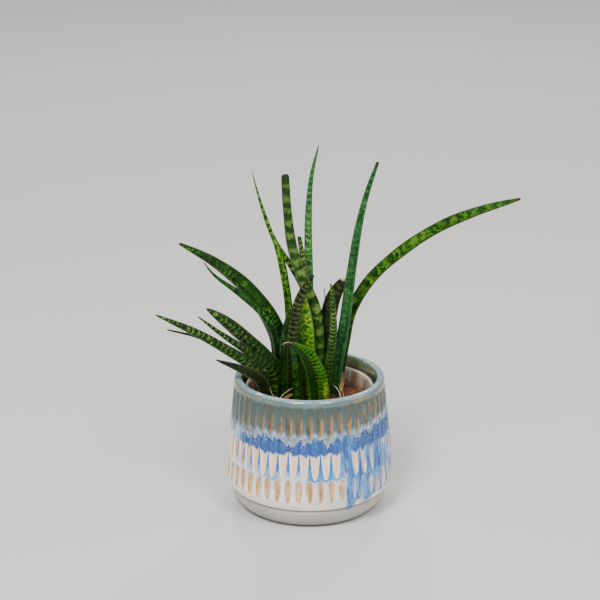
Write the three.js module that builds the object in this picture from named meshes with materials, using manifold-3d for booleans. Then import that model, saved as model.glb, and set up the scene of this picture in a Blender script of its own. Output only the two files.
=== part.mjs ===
// Snake plant in a nursery pot, standing in a fluted ceramic cover pot.
// Millimetres, +Z up. The origin is the centre of the cover pot's flat underside.
// The front of the object faces -Y and +X is to its right.

import * as THREE from 'three';
import { mergeVertices } from 'three/addons/utils/BufferGeometryUtils.js';
import Module from 'manifold-3d';

const wasm = await Module();
wasm.setup();

// ---- driving dimensions ----

const POT_HEIGHT = 78;
const POT_BASE_RADIUS = 37.5;
const POT_FOOT_RADIUS = 45.2;
const POT_FOOT_HEIGHT = 12;
const POT_BELLY_RADIUS = 48.7;
const POT_BELLY_HEIGHT = 21;
const POT_TOP_RADIUS = 43.2;
const LIP_THICKNESS = 5;
const POT_WALL = 4.5;
const POT_FLOOR = 7;
const POT_SIDES = 48;

const NURSERY_TOP = 71.5;
const NURSERY_TOP_RADIUS = 35.2;
const NURSERY_BASE_RADIUS = 26;
const NURSERY_WALL = 0.9;
const NURSERY_RIM_RADIUS = 36.8;
const NURSERY_RIM_HEIGHT = 2.2;
const NURSERY_SIDES = 40;
const DRAIN_HOLES = 5;
const DRAIN_RADIUS = 3;
const DRAIN_CIRCLE = 16;

const SOIL_TOP = 62;
const SOIL_CROWN = 1.2;
const LEAF_FOOT = 55;
const CROWN_TOP = 53.8;
const CROWN_SIDES = 14;
const CROWN_HEIGHT = 6;
const RHIZOME_RADIUS = 3.6;
const RHIZOME_DEPTH = 50;
const ROOT_RADIUS = 1.5;

const CLEARANCE = 0.3;
const LEAF_RINGS = 14;
const SWELL_SHARE = 0.45;
const LAST_RING = 0.3;
const SOCKET_DEPTH = 1.2;

// A leaf's section, as shares of its width and depth measured from its midline: the height of its
// edges, and the height and spread of the two lips that its channel lies between.
const BACK_POINTS = 5;
const EDGE_HEIGHT = 0.4;
const LIP_HEIGHT = 0.52;
const LIP_ACROSS = 0.6;

// ---- leaves ----
// Each leaf passes through the points of its route, from where it leaves the crown to its tip.
// face is the direction that its channel looks in, width and depth are its largest measures,
// channel is how far the middle of the channel sinks as a share of the depth, foot and tip are the
// shares of the width at its two ends, and a high thin keeps the leaf broad almost to its tip.

const LEAVES = {
  leaf_front_broad: {
    route: [
      [6.5, -8], [5, -8.5, 74], [3, -9.5, 84], [-0.5, -10.5, 92.5], [-5, -12, 98],
      [-9.5, -13.5, 102],
    ],
    face: [0.1, -1, 0.15], width: 12, depth: 4, channel: 0.5, tip: 0.1, thin: 4, foot: 0.5,
  },
  leaf_front_upright: {
    route: [[-6.5, -10], [-8, -10, 83], [-9, -10, 100]],
    face: [0.3, 1, 0], width: 6.4, depth: 4, channel: 0.2, tip: 0.7, thin: 6,
  },
  leaf_front_oval: {
    route: [[-13, 1], [-14, 1, 83], [-14, 1, 101.5], [-11, 2, 117]],
    face: [0.2, 1, 0], width: 6, depth: 3.4, channel: 0.3, tip: 0.3, thin: 4,
  },
  leaf_front_chevron: {
    route: [
      [-9.5, -4], [-10, -4, 85], [-9.5, -4, 103.5], [-7.5, -4.5, 119], [-3.5, -5, 130.5],
      [2.5, -5, 139.5],
    ],
    face: [0.2, -1, 0.2], width: 6.4, depth: 3.2, channel: 0.45, tip: 0.15, thin: 8,
  },
  leaf_centre_bright: {
    route: [[-2, 1], [-1.5, 1, 92.5], [-2.5, 1, 110.5], [-4.5, 0.5, 131]],
    face: [-0.1, -1, 0], width: 10.4, depth: 3.4, channel: 0.5, tip: 0.12, thin: 5,
  },
  leaf_centre_banded: {
    route: [
      [5.5, 7], [6, 7, 90], [4, 7, 114], [-2.5, 6, 131], [-9, 5, 150.5], [-12, 4, 172],
      [-13.5, 3, 196],
    ],
    face: [-0.3, 1, 0], width: 7.2, depth: 4.8, channel: 0.15, tip: 0.62, thin: 1.6,
  },
  leaf_small_blunt: {
    route: [[-1, 13], [-0.5, 12.5, 115.5], [-3, 11.5, 137], [-6, 10, 157.5]],
    face: [0.2, 1, 0], width: 4.3, depth: 3.2, channel: 0.2, tip: 0.55, thin: 3,
  },
  leaf_tall_needle: {
    route: [
      [0.5, 19], [0, 19, 110], [-0.5, 18, 144], [-0.5, 17, 168], [1, 16, 190.5], [5, 14, 209.5],
    ],
    face: [-0.1, -1, 0], width: 5.6, depth: 3, channel: 0.5, tip: 0.12, thin: 3.5,
  },
  leaf_back_needle: {
    route: [
      [5.5, 23], [-1.5, 23, 115], [-10.5, 22, 135.5], [-19.5, 21, 150.5], [-26.5, 18, 170.5],
      [-32.5, 14, 194.5],
    ],
    face: [0.3, -1, 0.2], width: 4, depth: 2.6, channel: 0.45, tip: 0.08, thin: 3,
  },
  leaf_back_bright: {
    route: [[-11, 22.5], [-12, 21, 109.5], [-15, 18, 134], [-18, 17, 147], [-21.5, 16, 156.5]],
    face: [0.2, -1, 0.1], width: 4.6, depth: 2.6, channel: 0.4, tip: 0.3, thin: 10,
  },
  leaf_right_dark: {
    route: [
      [10.5, 12.5], [11, 12.5, 78.5], [10.5, 12.5, 100.5], [13.5, 12.5, 118.5], [20, 11.5, 132],
    ],
    face: [-0.15, 1, 0.1], width: 9.4, depth: 3.6, channel: 0.35, tip: 0.35, thin: 12,
  },
  leaf_right_chevron: {
    route: [[8.5, 2], [11.5, 2, 84.5], [13.5, 2, 101], [13.5, 1.5, 117.5], [12, 1, 132.5]],
    face: [-0.2, -1, 0], width: 5.4, depth: 3.2, channel: 0.4, tip: 0.15, thin: 4, foot: 0.7,
  },
  leaf_right_spike: {
    route: [[10, 19], [10, 19, 104], [8.5, 18, 124]],
    face: [0, -1, 0], width: 2, depth: 1.4, channel: 0.1, tip: 0.2, thin: 2,
  },
  leaf_right_upright: {
    route: [
      [14, 8], [17, 8, 83.5], [20.5, 8, 107.5], [24, 8, 137], [28, 7.5, 165], [32.5, 6.5, 185],
      [38, 5, 202.5],
    ],
    face: [-0.3, -1, 0.1], width: 7, depth: 3.8, channel: 0.55, tip: 0.25, thin: 2.2,
  },
  leaf_right_long: {
    route: [
      [16, 17.5], [20.5, 17.5, 89], [24.5, 17, 109.5], [34.5, 15, 129], [51.5, 12, 147],
      [73.5, 8, 163.5], [94.5, 4, 174], [117.5, 0, 182.5],
    ],
    face: [-0.25, -0.8, 0.55], width: 6.5, depth: 4.2, channel: 0.35, tip: 0.2, thin: 9,
  },
  leaf_left_arch: {
    route: [
      [-15, 16.5], [-16.5, 16.5, 77], [-18.5, 16.5, 94], [-25.5, 15.5, 110.5], [-38, 14, 127],
      [-55, 12.5, 141.5], [-74, 11, 153],
    ],
    face: [0.2, 0.95, 0.3], width: 11.2, depth: 4, channel: 0.4, tip: 0.15, thin: 4, foot: 0.8,
  },
  leaf_left_under: {
    route: [
      [-16, 10.5], [-17.5, 10.5, 77.5], [-20, 10.5, 98.5], [-27, 9.5, 111], [-40.5, 8.5, 124],
      [-54, 7.5, 135], [-60, 7, 143],
    ],
    face: [0.35, -0.8, 0.5], width: 5.4, depth: 2.8, channel: 0.4, tip: 0.08, thin: 3,
  },
  leaf_left_chevron: {
    route: [
      [-17.5, 5.5], [-19, 5.5, 76.5], [-26, 5, 87], [-38.5, 4, 99.5], [-48, 3, 108.5],
      [-58.5, 2, 117],
    ],
    face: [0.2, 0.95, 0.3], width: 9.2, depth: 3.8, channel: 0.35, tip: 0.15, thin: 8,
  },
  leaf_left_slender: {
    route: [
      [-20.5, 0], [-22, 0, 80], [-29.5, -0.5, 87.5], [-41.5, -1.5, 96.5], [-52.5, -2.5, 105],
      [-63, -3.5, 114],
    ],
    face: [0.25, -0.8, 0.55], width: 6, depth: 3, channel: 0.3, tip: 0.12, thin: 2.4,
  },
  leaf_left_long: {
    route: [
      [-24, -5], [-26.5, -5, 76.5], [-34, -5.5, 85.5], [-48, -6.5, 95.5], [-64.5, -8, 106],
      [-86.5, -9, 117],
    ],
    face: [0.25, -0.8, 0.55], width: 6.2, depth: 3.8, channel: 0.35, tip: 0.15, thin: 4,
  },
  leaf_left_thin: {
    route: [
      [-24.5, 10.5], [-31.5, 6, 78.5], [-46.5, 2.5, 90.5], [-62.5, 0, 100], [-81, -1.5, 105.5],
    ],
    face: [0.25, -0.8, 0.55], width: 2.2, depth: 1.6, channel: 0.2, tip: 0.1, thin: 2.5,
  },
  leaf_left_low: {
    route: [[-22.5, -9.5], [-28, -10, 77.5], [-37, -10.5, 84], [-53, -11.5, 91]],
    face: [0.3, -0.85, 0.5], width: 7.6, depth: 2.6, channel: 0.6, tip: 0.1, thin: 2.5,
  },
  leaf_left_spike: {
    route: [[-21, 8.8], [-20.5, 8.8, 80], [-22.5, 8.8, 96.5]],
    face: [0, -1, 0], width: 1.5, depth: 1.1, channel: 0.1, tip: 0.2, thin: 2,
  },
};

// Dried outer sheaths of old leaves, lying against the clump just above the soil.
const SHEATHS = {
  dry_sheath_left: {
    route: [[-17, -13, 63], [-14.5, -14.5, 68], [-9.5, -15.2, 72]],
    face: [0.3, -1, 0.3], width: 2.6, depth: 0.9, channel: 0.2, tip: 0.25, thin: 3,
  },
  dry_sheath_right: {
    route: [[17.8, 3, 63], [18.6, 3, 69], [19.3, 3, 78]],
    face: [0, -1, 0], width: 2, depth: 0.8, channel: 0.2, tip: 0.25, thin: 3,
  },
};

// Where the crowns that the leaves grow from sit on the rhizome: x, y and radius.
const CROWNS = [[-18, -1, 9.5], [-14, 13, 8.5], [-4, -4, 8.5], [1, 15, 9.5], [12, 7, 9.5]];

// ---- materials ----

function finish(color, roughness, metalness = 0) {
  return new THREE.MeshStandardMaterial({ color, roughness, metalness });
}

// ---- solids and booleans ----

function toManifold(geometry) {
  const bare = geometry.clone();
  bare.deleteAttribute('normal');
  bare.deleteAttribute('uv');
  const merged = mergeVertices(bare, 1e-4);
  return new wasm.Manifold(new wasm.Mesh({
    numProp: 3,
    vertProperties: new Float32Array(merged.attributes.position.array),
    triVerts: new Uint32Array(merged.index.array),
  }));
}

function toGeometry(solid) {
  const mesh = solid.getMesh();
  const geometry = new THREE.BufferGeometry();
  geometry.setAttribute('position', new THREE.BufferAttribute(mesh.vertProperties, 3));
  geometry.setIndex(new THREE.BufferAttribute(mesh.triVerts, 1));
  geometry.computeVertexNormals();
  return geometry;
}

// A lathed solid about +Z from a profile of [radius, height] pairs.
function lathe(profile, sides) {
  const points = profile.map(([radius, height]) => new THREE.Vector2(radius, height));
  return new THREE.LatheGeometry(points, sides).rotateX(Math.PI / 2);
}

// A straight round bar of the given radius from one height to another.
function bar(x, y, low, high, radius, sides) {
  const geometry = new THREE.CylinderGeometry(radius, radius, high - low, sides).rotateX(Math.PI / 2);
  return geometry.translate(x, y, (low + high) / 2);
}

// A round tube along a curve through the given points.
function tube(points, radius, sides, steps) {
  const section = new THREE.Shape();
  section.absarc(0, 0, radius, 0, 2 * Math.PI);
  const path = new THREE.CatmullRomCurve3(points.map((point) => new THREE.Vector3(...point)));
  return new THREE.ExtrudeGeometry(section, {
    extrudePath: path, steps, curveSegments: sides, bevelEnabled: false,
  });
}

// ---- blades ----

// Points of a blade's section as [across, depth] shares: the rounded back, then the channel.
function bladeSection(channel) {
  const section = [];
  for (let i = 0; i < BACK_POINTS; i += 1) {
    const angle = (Math.PI * i) / (BACK_POINTS - 1);
    section.push([Math.cos(angle), EDGE_HEIGHT - Math.sin(angle)]);
  }
  section.push([-LIP_ACROSS, LIP_HEIGHT]);
  section.push([0, LIP_HEIGHT - channel]);
  section.push([LIP_ACROSS, LIP_HEIGHT]);
  return section;
}

// The blade's size at a share of its length, as a share of the largest. It swells above its foot,
// thins towards its tip and ends in a half round, which takes up the last share of the length.
function bladeSize(along, { foot = 0.85, tip, thin }, end) {
  const swell = foot + (1 - foot) * Math.sin((Math.PI / 2) * Math.min(1, along / SWELL_SHARE));
  const past = Math.max(0, (along - 1 + end) / end);
  return swell * (1 - (1 - tip) * along ** thin) * Math.sqrt(1 - past * past);
}

// A tapering channelled blade along a route of points, closed at its foot and its tip. grow makes it
// thicker on all sides and sink longer past its foot.
function blade(shape, grow = 0, sink = 0) {
  const { route, face, width, depth, channel, tip } = shape;
  const points = route.map(([x, y, z = LEAF_FOOT]) => new THREE.Vector3(x, y, z));
  const path = new THREE.CatmullRomCurve3(points);
  const end = (tip * width) / 2 / path.getLength();
  const looks = new THREE.Vector3(...face);
  const section = bladeSection(channel);
  const count = section.length;
  const vertices = [];
  const indices = [];
  for (let ring = 0; ring < LEAF_RINGS; ring += 1) {
    const along = Math.min((1 - end) * (ring / (LEAF_RINGS - 2)), 1 - end * LAST_RING);
    const centre = path.getPointAt(along);
    const tangent = path.getTangentAt(along);
    const normal = looks.clone().addScaledVector(tangent, -looks.dot(tangent)).normalize();
    const across = new THREE.Vector3().crossVectors(tangent, normal);
    const size = bladeSize(along, shape, end);
    for (const [u, v] of section) {
      vertices.push(...centre.clone()
        .addScaledVector(across, u * ((size * width) / 2 + grow))
        .addScaledVector(normal, v * size * depth + Math.sign(v) * grow)
        .addScaledVector(tangent, ring === 0 ? -sink : 0));
    }
  }
  vertices.push(...path.getPointAt(1).addScaledVector(path.getTangentAt(1), grow));
  const apex = count * LEAF_RINGS;
  for (let ring = 0; ring < LEAF_RINGS; ring += 1) {
    for (let i = 0; i < count; i += 1) {
      const a = ring * count + i;
      const b = ring * count + ((i + 1) % count);
      if (ring === LEAF_RINGS - 1) {
        indices.push(a, b, apex);
      } else {
        indices.push(a, b, a + count, b, b + count, a + count);
      }
    }
  }
  const middle = BACK_POINTS + 1;
  for (let i = 0; i < count; i += 1) {
    const next = (i + 1) % count;
    if (i !== middle && next !== middle) {
      indices.push(middle, next, i);
    }
  }
  const geometry = new THREE.BufferGeometry();
  geometry.setAttribute('position', new THREE.Float32BufferAttribute(vertices, 3));
  geometry.setIndex(indices);
  geometry.computeVertexNormals();
  return geometry;
}

// ---- pots ----

function coverPot() {
  const inside = POT_TOP_RADIUS - LIP_THICKNESS;
  const profile = [
    [0, 0], [POT_BASE_RADIUS - 1, 0], [POT_BASE_RADIUS, 0.6],
    [POT_BASE_RADIUS + 3.2, 2.9], [POT_FOOT_RADIUS - 1.2, 7.4], [POT_FOOT_RADIUS, POT_FOOT_HEIGHT - 0.6],
    [POT_FOOT_RADIUS - 0.6, POT_FOOT_HEIGHT + 0.3], [POT_FOOT_RADIUS + 0.8, POT_FOOT_HEIGHT + 1],
    [POT_BELLY_RADIUS - 1.1, 16], [POT_BELLY_RADIUS - 0.2, 18.6], [POT_BELLY_RADIUS, POT_BELLY_HEIGHT],
    [POT_TOP_RADIUS + 2.8, 46], [POT_TOP_RADIUS + 0.6, 69], [POT_TOP_RADIUS, POT_HEIGHT - 3],
    [POT_TOP_RADIUS - 0.8, POT_HEIGHT - 0.9], [POT_TOP_RADIUS - 2.2, POT_HEIGHT],
    [inside + 1, POT_HEIGHT - 0.1], [inside + 0.1, POT_HEIGHT - 1.6], [inside, POT_HEIGHT - 5.5],
    [inside + 2, 62], [POT_BELLY_RADIUS - POT_WALL - 0.6, 24], [POT_BELLY_RADIUS - POT_WALL - 1, 17],
    [POT_BASE_RADIUS + 1.5, POT_FLOOR + 1.4], [POT_BASE_RADIUS - 3, POT_FLOOR], [0, POT_FLOOR],
  ];
  return lathe(profile, POT_SIDES);
}

function nurseryPot() {
  const low = POT_FLOOR + CLEARANCE;
  const rimFoot = NURSERY_TOP - NURSERY_RIM_HEIGHT;
  const profile = [
    [0, low], [NURSERY_BASE_RADIUS - 1.5, low], [NURSERY_BASE_RADIUS, low + 1.5],
    [NURSERY_TOP_RADIUS, rimFoot], [NURSERY_RIM_RADIUS, rimFoot + 0.3],
    [NURSERY_RIM_RADIUS, NURSERY_TOP - 0.3], [NURSERY_RIM_RADIUS - 0.3, NURSERY_TOP],
    [NURSERY_TOP_RADIUS - NURSERY_WALL + 0.3, NURSERY_TOP],
    [NURSERY_TOP_RADIUS - NURSERY_WALL, rimFoot - 0.5],
    [NURSERY_BASE_RADIUS - NURSERY_WALL, low + 2],
    [NURSERY_BASE_RADIUS - NURSERY_WALL - 1.5, low + NURSERY_WALL], [0, low + NURSERY_WALL],
  ];
  let pot = toManifold(lathe(profile, NURSERY_SIDES));
  for (let i = 0; i < DRAIN_HOLES; i += 1) {
    const angle = (2 * Math.PI * i) / DRAIN_HOLES;
    const x = DRAIN_CIRCLE * Math.cos(angle);
    const y = DRAIN_CIRCLE * Math.sin(angle);
    pot = pot.subtract(toManifold(bar(x, y, low - 1, low + NURSERY_WALL + 1, DRAIN_RADIUS, 12)));
  }
  return toGeometry(pot);
}

// ---- what grows in the pot ----

// The rhizome, the crowns that the leaves grow from and the main roots, grown as one piece.
function rootstock(grow = 0) {
  const half = CROWN_HEIGHT / 2;
  const route = CROWNS.map(([x, y]) => [x, y, RHIZOME_DEPTH]);
  let stock = toManifold(tube(route, RHIZOME_RADIUS + grow, 4, 16));
  for (const [x, y, radius] of CROWNS) {
    const crown = lathe([
      [0, -CROWN_HEIGHT - grow], [radius * 0.6, -CROWN_HEIGHT - grow], [radius + grow, -half],
      [radius + grow, -0.8], [radius - 0.8 + grow, grow], [0, grow],
    ], CROWN_SIDES).translate(x, y, CROWN_TOP);
    const root = tube([
      [x, y, RHIZOME_DEPTH], [x * 1.15, y * 1.15, 36], [x * 0.7, y * 1.1, 24], [x * 0.9, y * 0.6, 14],
    ], ROOT_RADIUS + grow, 3, 6);
    stock = stock.add(toManifold(crown)).add(toManifold(root));
  }
  return stock;
}

// The growing medium, with a socket round each leaf and round everything that is buried in it.
function soil() {
  const low = POT_FLOOR + NURSERY_WALL + 2 * CLEARANCE;
  const slope = (NURSERY_TOP_RADIUS - NURSERY_BASE_RADIUS) / (NURSERY_TOP - NURSERY_RIM_HEIGHT - low);
  const inner = NURSERY_BASE_RADIUS - NURSERY_WALL - CLEARANCE;
  const top = inner + slope * (SOIL_TOP - low) - 0.3;
  let block = toManifold(lathe([
    [0, low], [inner - 2, low], [inner - 0.4, low + 2.2], [top, SOIL_TOP - SOIL_CROWN],
    [top * 0.8, SOIL_TOP], [top * 0.45, SOIL_TOP - 0.3], [0, SOIL_TOP],
  ], NURSERY_SIDES));
  block = block.subtract(rootstock(CLEARANCE));
  for (const shape of Object.values(LEAVES)) {
    const socket = blade({ ...shape, channel: 0 }, CLEARANCE, SOCKET_DEPTH);
    block = block.subtract(toManifold(socket));
  }
  return toGeometry(block);
}

// ---- assembly ----

const group = new THREE.Group();

function place(name, geometry, material) {
  const mesh = new THREE.Mesh(geometry, material);
  mesh.name = name;
  group.add(mesh);
}

place('cover_pot', coverPot(), finish('#c9cdc9', 0.35));
place('nursery_pot', nurseryPot(), finish('#9c8478', 0.55));
place('soil', soil(), finish('#6b3f22', 0.95));
place('rootstock', toGeometry(rootstock()), finish('#b9a27c', 0.7));
for (const [name, shape] of Object.entries(LEAVES)) {
  place(name, blade(shape), finish('#3f6b2b', 0.45));
}
for (const [name, shape] of Object.entries(SHEATHS)) {
  place(name, blade(shape), finish('#b58a5a', 0.8));
}

export default group;
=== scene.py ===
"""A small snake plant in its nursery pot, standing in a fluted cover pot with a running glaze.

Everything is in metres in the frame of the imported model: +Z is up, the origin is the centre of the
cover pot's underside and the front of the object looks along -Y. The pieces' sizes in the dataclasses
below are in millimetres, and are turned into metres where a mesh is made. The studio's are in metres.
"""

import logging
import math
from dataclasses import dataclass, field
from enum import Enum
from functools import lru_cache
from typing import Any, Optional, Sequence

import bpy
import numpy as np
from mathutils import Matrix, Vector


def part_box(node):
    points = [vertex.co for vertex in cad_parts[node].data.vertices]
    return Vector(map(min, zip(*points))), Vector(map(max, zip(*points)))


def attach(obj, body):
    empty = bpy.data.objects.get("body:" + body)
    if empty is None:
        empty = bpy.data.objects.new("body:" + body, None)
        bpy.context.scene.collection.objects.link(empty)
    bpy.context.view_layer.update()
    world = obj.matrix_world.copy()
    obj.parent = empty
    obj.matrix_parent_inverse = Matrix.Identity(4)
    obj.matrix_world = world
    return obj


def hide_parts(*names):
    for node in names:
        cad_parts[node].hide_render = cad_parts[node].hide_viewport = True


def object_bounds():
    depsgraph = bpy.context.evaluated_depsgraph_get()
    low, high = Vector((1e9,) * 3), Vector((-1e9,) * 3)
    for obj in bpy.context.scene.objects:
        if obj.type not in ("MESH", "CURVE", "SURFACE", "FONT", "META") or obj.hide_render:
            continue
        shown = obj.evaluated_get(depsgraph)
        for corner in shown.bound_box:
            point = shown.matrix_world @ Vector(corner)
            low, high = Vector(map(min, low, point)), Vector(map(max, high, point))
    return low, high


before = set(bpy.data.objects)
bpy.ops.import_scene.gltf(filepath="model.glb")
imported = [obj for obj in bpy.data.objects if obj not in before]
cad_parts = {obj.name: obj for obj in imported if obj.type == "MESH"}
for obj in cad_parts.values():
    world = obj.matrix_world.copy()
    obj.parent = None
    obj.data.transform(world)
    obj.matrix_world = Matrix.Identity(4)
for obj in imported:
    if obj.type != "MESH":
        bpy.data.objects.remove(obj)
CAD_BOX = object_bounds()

LOG = logging.getLogger("snake_plant")
MM = 0.001
ROOT = "root"
FLUTES = 48

Colour = tuple[float, float, float, float]
Point = tuple[float, float, float]
Outline = tuple[tuple[float, float], ...]


def linear(code: str) -> Colour:
    """Turns a hex colour into the linear values that shader sockets hold.

    Args:
        code: six hex digits, as a screen shows the colour.

    Returns:
        Linear red, green, blue and an alpha of 1.
    """
    shown = [int(code[i : i + 2], 16) / 255 for i in (0, 2, 4)]
    red, green, blue = [c / 12.92 if c <= 0.04045 else ((c + 0.055) / 1.055) ** 2.4 for c in shown]
    return red, green, blue, 1.0


# ---------------------------------------------------------------- node trees


class Graph:
    """A shader or geometry node tree under construction, with short calls for common nodes."""

    def __init__(self, tree: bpy.types.NodeTree) -> None:
        """Wraps a node tree."""
        self.tree = tree

    def node(self, kind: str, inputs: Optional[dict[Any, Any]] = None, **settings: Any) -> bpy.types.Node:
        """Adds a node.

        Args:
            kind: the node's type name.
            inputs: values or sockets for its inputs, by name or number.
            settings: attributes to set on it.

        Returns:
            The new node.
        """
        made = self.tree.nodes.new(kind)
        for name, value in settings.items():
            setattr(made, name, value)
        for key, value in (inputs or {}).items():
            self.feed(made.inputs[key], value)
        return made

    def feed(self, socket: bpy.types.NodeSocket, value: Any) -> None:
        """Links a socket to value if that is a socket too, and stores value in it otherwise."""
        if isinstance(value, bpy.types.NodeSocket):
            self.tree.links.new(value, socket)
        else:
            socket.default_value = value

    def math(self, operation: str, *values: Any, clamp: bool = False) -> bpy.types.NodeSocket:
        """Adds a Math node on up to three values and returns its result."""
        made = self.node("ShaderNodeMath", dict(enumerate(values)), operation=operation, use_clamp=clamp)
        return made.outputs[0]

    def unit(self, vector: Any) -> bpy.types.NodeSocket:
        """Returns vector at length 1."""
        return self.node("ShaderNodeVectorMath", {0: vector}, operation="NORMALIZE").outputs[0]

    def scale(self, vector: Any, factor: Any) -> bpy.types.NodeSocket:
        """Returns vector made longer by factor."""
        return self.node("ShaderNodeVectorMath", {0: vector, 3: factor}, operation="SCALE").outputs[0]

    def add(self, *values: Any) -> bpy.types.NodeSocket:
        """Returns the sum of the values."""
        total = values[0]
        for value in values[1:]:
            total = self.math("ADD", total, value)
        return total

    def times(self, *values: Any) -> bpy.types.NodeSocket:
        """Returns the product of the values."""
        product = values[0]
        for value in values[1:]:
            product = self.math("MULTIPLY", product, value)
        return product

    def invert(self, value: Any) -> bpy.types.NodeSocket:
        """Returns one minus value."""
        return self.less(1.0, value)

    def less(self, value: Any, taken: Any) -> bpy.types.NodeSocket:
        """Returns value minus taken."""
        return self.math("SUBTRACT", value, taken)

    def most(self, first: Any, second: Any) -> bpy.types.NodeSocket:
        """Returns the larger of two values."""
        return self.math("MAXIMUM", first, second)

    def held(self, first: Any, second: Any) -> bpy.types.NodeSocket:
        """Returns the product of two values, held between 0 and 1."""
        return self.math("MULTIPLY", first, second, clamp=True)

    def ramp(self, value: Any, low: Any, high: Any) -> bpy.types.NodeSocket:
        """Returns value eased from 0 at low to 1 at high; low may be the larger one."""
        inputs = {"Value": value, "From Min": low, "From Max": high}
        return self.node("ShaderNodeMapRange", inputs, interpolation_type="SMOOTHSTEP").outputs[0]

    def band(self, value: Any, low: float, high: float, soft: float) -> bpy.types.NodeSocket:
        """Returns 1 where value lies between low and high, eased over soft at both ends."""
        rise = self.ramp(value, low - soft, low + soft)
        return self.times(rise, self.ramp(value, high + soft, high - soft))

    def mix(self, share: Any, first: Any, second: Any) -> bpy.types.NodeSocket:
        """Mixes two colours, sockets or hex codes, by share and returns the result."""
        first, second = [linear(colour) if isinstance(colour, str) else colour for colour in (first, second)]
        made = self.node("ShaderNodeMix", {0: share, 6: first, 7: second}, data_type="RGBA")
        return made.outputs[2]

    def split(self, vector: Any) -> bpy.types.NodeOutputs:
        """Returns the x, y and z outputs of a vector."""
        return self.node("ShaderNodeSeparateXYZ", {0: vector}).outputs

    def join(self, x: Any, y: Any, z: Any) -> bpy.types.NodeSocket:
        """Returns a vector of the three values."""
        return self.node("ShaderNodeCombineXYZ", {0: x, 1: y, 2: z}).outputs[0]

    def noise(self, vector: Any, scale: Any, detail: float) -> bpy.types.NodeSocket:
        """Returns a noise value about 0.5 at vector."""
        inputs = {"Vector": vector, "Scale": scale, "Detail": detail}
        return self.node("ShaderNodeTexNoise", inputs).outputs[0]

    def attribute(self, name: str) -> bpy.types.NodeSocket:
        """Returns the float that the mesh stores under name."""
        return self.node("ShaderNodeAttribute", attribute_name=name).outputs["Fac"]

    def place(self, effect: bpy.types.NodeTree, **inputs: Any) -> bpy.types.NodeSocket:
        """Places a shared effect and returns its first output.

        Args:
            effect: the node group.
            inputs: its inputs by name.

        Returns:
            The group's mask.
        """
        made = self.node("ShaderNodeGroup", node_tree=effect)
        for name, value in inputs.items():
            self.feed(made.inputs[name], value)
        return made.outputs[0]


def new_effect(name: str, sockets: dict[str, float]) -> tuple[Graph, bpy.types.NodeOutputs]:
    """Starts a shader node group that turns a vector and some numbers into one mask.

    Args:
        name: the group's name.
        sockets: its number inputs and their defaults.

    Returns:
        The group's graph and the outputs of its input node.
    """
    tree = bpy.data.node_groups.new(name, "ShaderNodeTree")
    tree.interface.new_socket("Vector", in_out="INPUT", socket_type="NodeSocketVector")
    for label, default in sockets.items():
        made = tree.interface.new_socket(label, in_out="INPUT", socket_type="NodeSocketFloat")
        made.default_value = default
    tree.interface.new_socket("Mask", in_out="OUTPUT", socket_type="NodeSocketFloat")
    graph = Graph(tree)
    return graph, graph.node("NodeGroupInput").outputs


def sharpen(graph: Graph, value: Any, contrast: Any) -> bpy.types.NodeTree:
    """Ends an effect in value spread about 0.5 by contrast, and returns its tree."""
    swing = graph.times(graph.less(value, 0.5), contrast)
    mask = graph.math("ADD", graph.times(swing, 2.0), 0.5, clamp=True)
    graph.node("NodeGroupOutput", {0: mask})
    return graph.tree


def mottle_effect() -> bpy.types.NodeTree:
    """Makes soft clouds between 0 and 1; Contrast narrows the step between light and dark."""
    graph, given = new_effect("mottle", {"Scale": 100.0, "Contrast": 1.0})
    cloud = graph.noise(given["Vector"], given["Scale"], 4.0)
    return sharpen(graph, cloud, given["Contrast"])


def streak_effect() -> bpy.types.NodeTree:
    """Makes marks drawn out along Z, as where glaze has run; Stretch is their length to width."""
    graph, given = new_effect("streaks", {"Scale": 400.0, "Stretch": 12.0, "Contrast": 1.0})
    x, y, z = graph.split(given["Vector"])
    drawn = graph.join(x, y, graph.math("DIVIDE", z, given["Stretch"]))
    lines = graph.noise(drawn, given["Scale"], 2.0)
    return sharpen(graph, lines, given["Contrast"])


def fleck_effect() -> bpy.types.NodeTree:
    """Makes small round dots; Size is their radius in cells and Amount the share of cells with one."""
    graph, given = new_effect("flecks", {"Scale": 900.0, "Size": 0.3, "Amount": 0.5})
    cells = graph.node("ShaderNodeTexVoronoi", {"Vector": given["Vector"], "Scale": given["Scale"]})
    chance = graph.split(cells.outputs["Color"])[0]
    dot = graph.ramp(cells.outputs["Distance"], given["Size"], graph.times(given["Size"], 0.6))
    graph.node("NodeGroupOutput", {0: graph.times(dot, graph.math("LESS_THAN", chance, given["Amount"]))})
    return graph.tree


@dataclass(frozen=True)
class Effects:
    """The node groups that several finishes share."""

    mottle: bpy.types.NodeTree = field(default_factory=mottle_effect)
    streaks: bpy.types.NodeTree = field(default_factory=streak_effect)
    flecks: bpy.types.NodeTree = field(default_factory=fleck_effect)


EFFECTS = Effects()


@dataclass(frozen=True)
class Finish:
    """What every finish has: a name, and the shader values that are the same all over."""

    name: str
    slot: str
    ior: float = 1.5
    coat: float = 0.0
    coat_roughness: float = 0.05
    bump: float = 0.3
    relief: float = 0.2

    def paint(self, graph: Graph) -> dict[str, Any]:
        """Builds the pattern and returns sockets or values for the shader, with Height for bump."""
        raise NotImplementedError

    def build(self) -> bpy.types.Material:
        """Makes the material.

        Returns:
            A material with one Principled BSDF fed by the pattern.
        """
        material = bpy.data.materials.new(self.name)
        material.use_nodes = True
        graph = Graph(material.node_tree)
        shader = material.node_tree.nodes["Principled BSDF"]
        even = {"IOR": self.ior, "Coat Weight": self.coat, "Coat Roughness": self.coat_roughness}
        values = self.paint(graph)
        height = values.pop("Height", None)
        for name, value in {**even, **values}.items():
            graph.feed(shader.inputs[name], value)
        if height is not None:
            inputs = {"Strength": self.bump, "Distance": self.relief * MM, "Height": height}
            graph.feed(shader.inputs["Normal"], graph.node("ShaderNodeBump", inputs).outputs[0])
        return material


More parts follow.
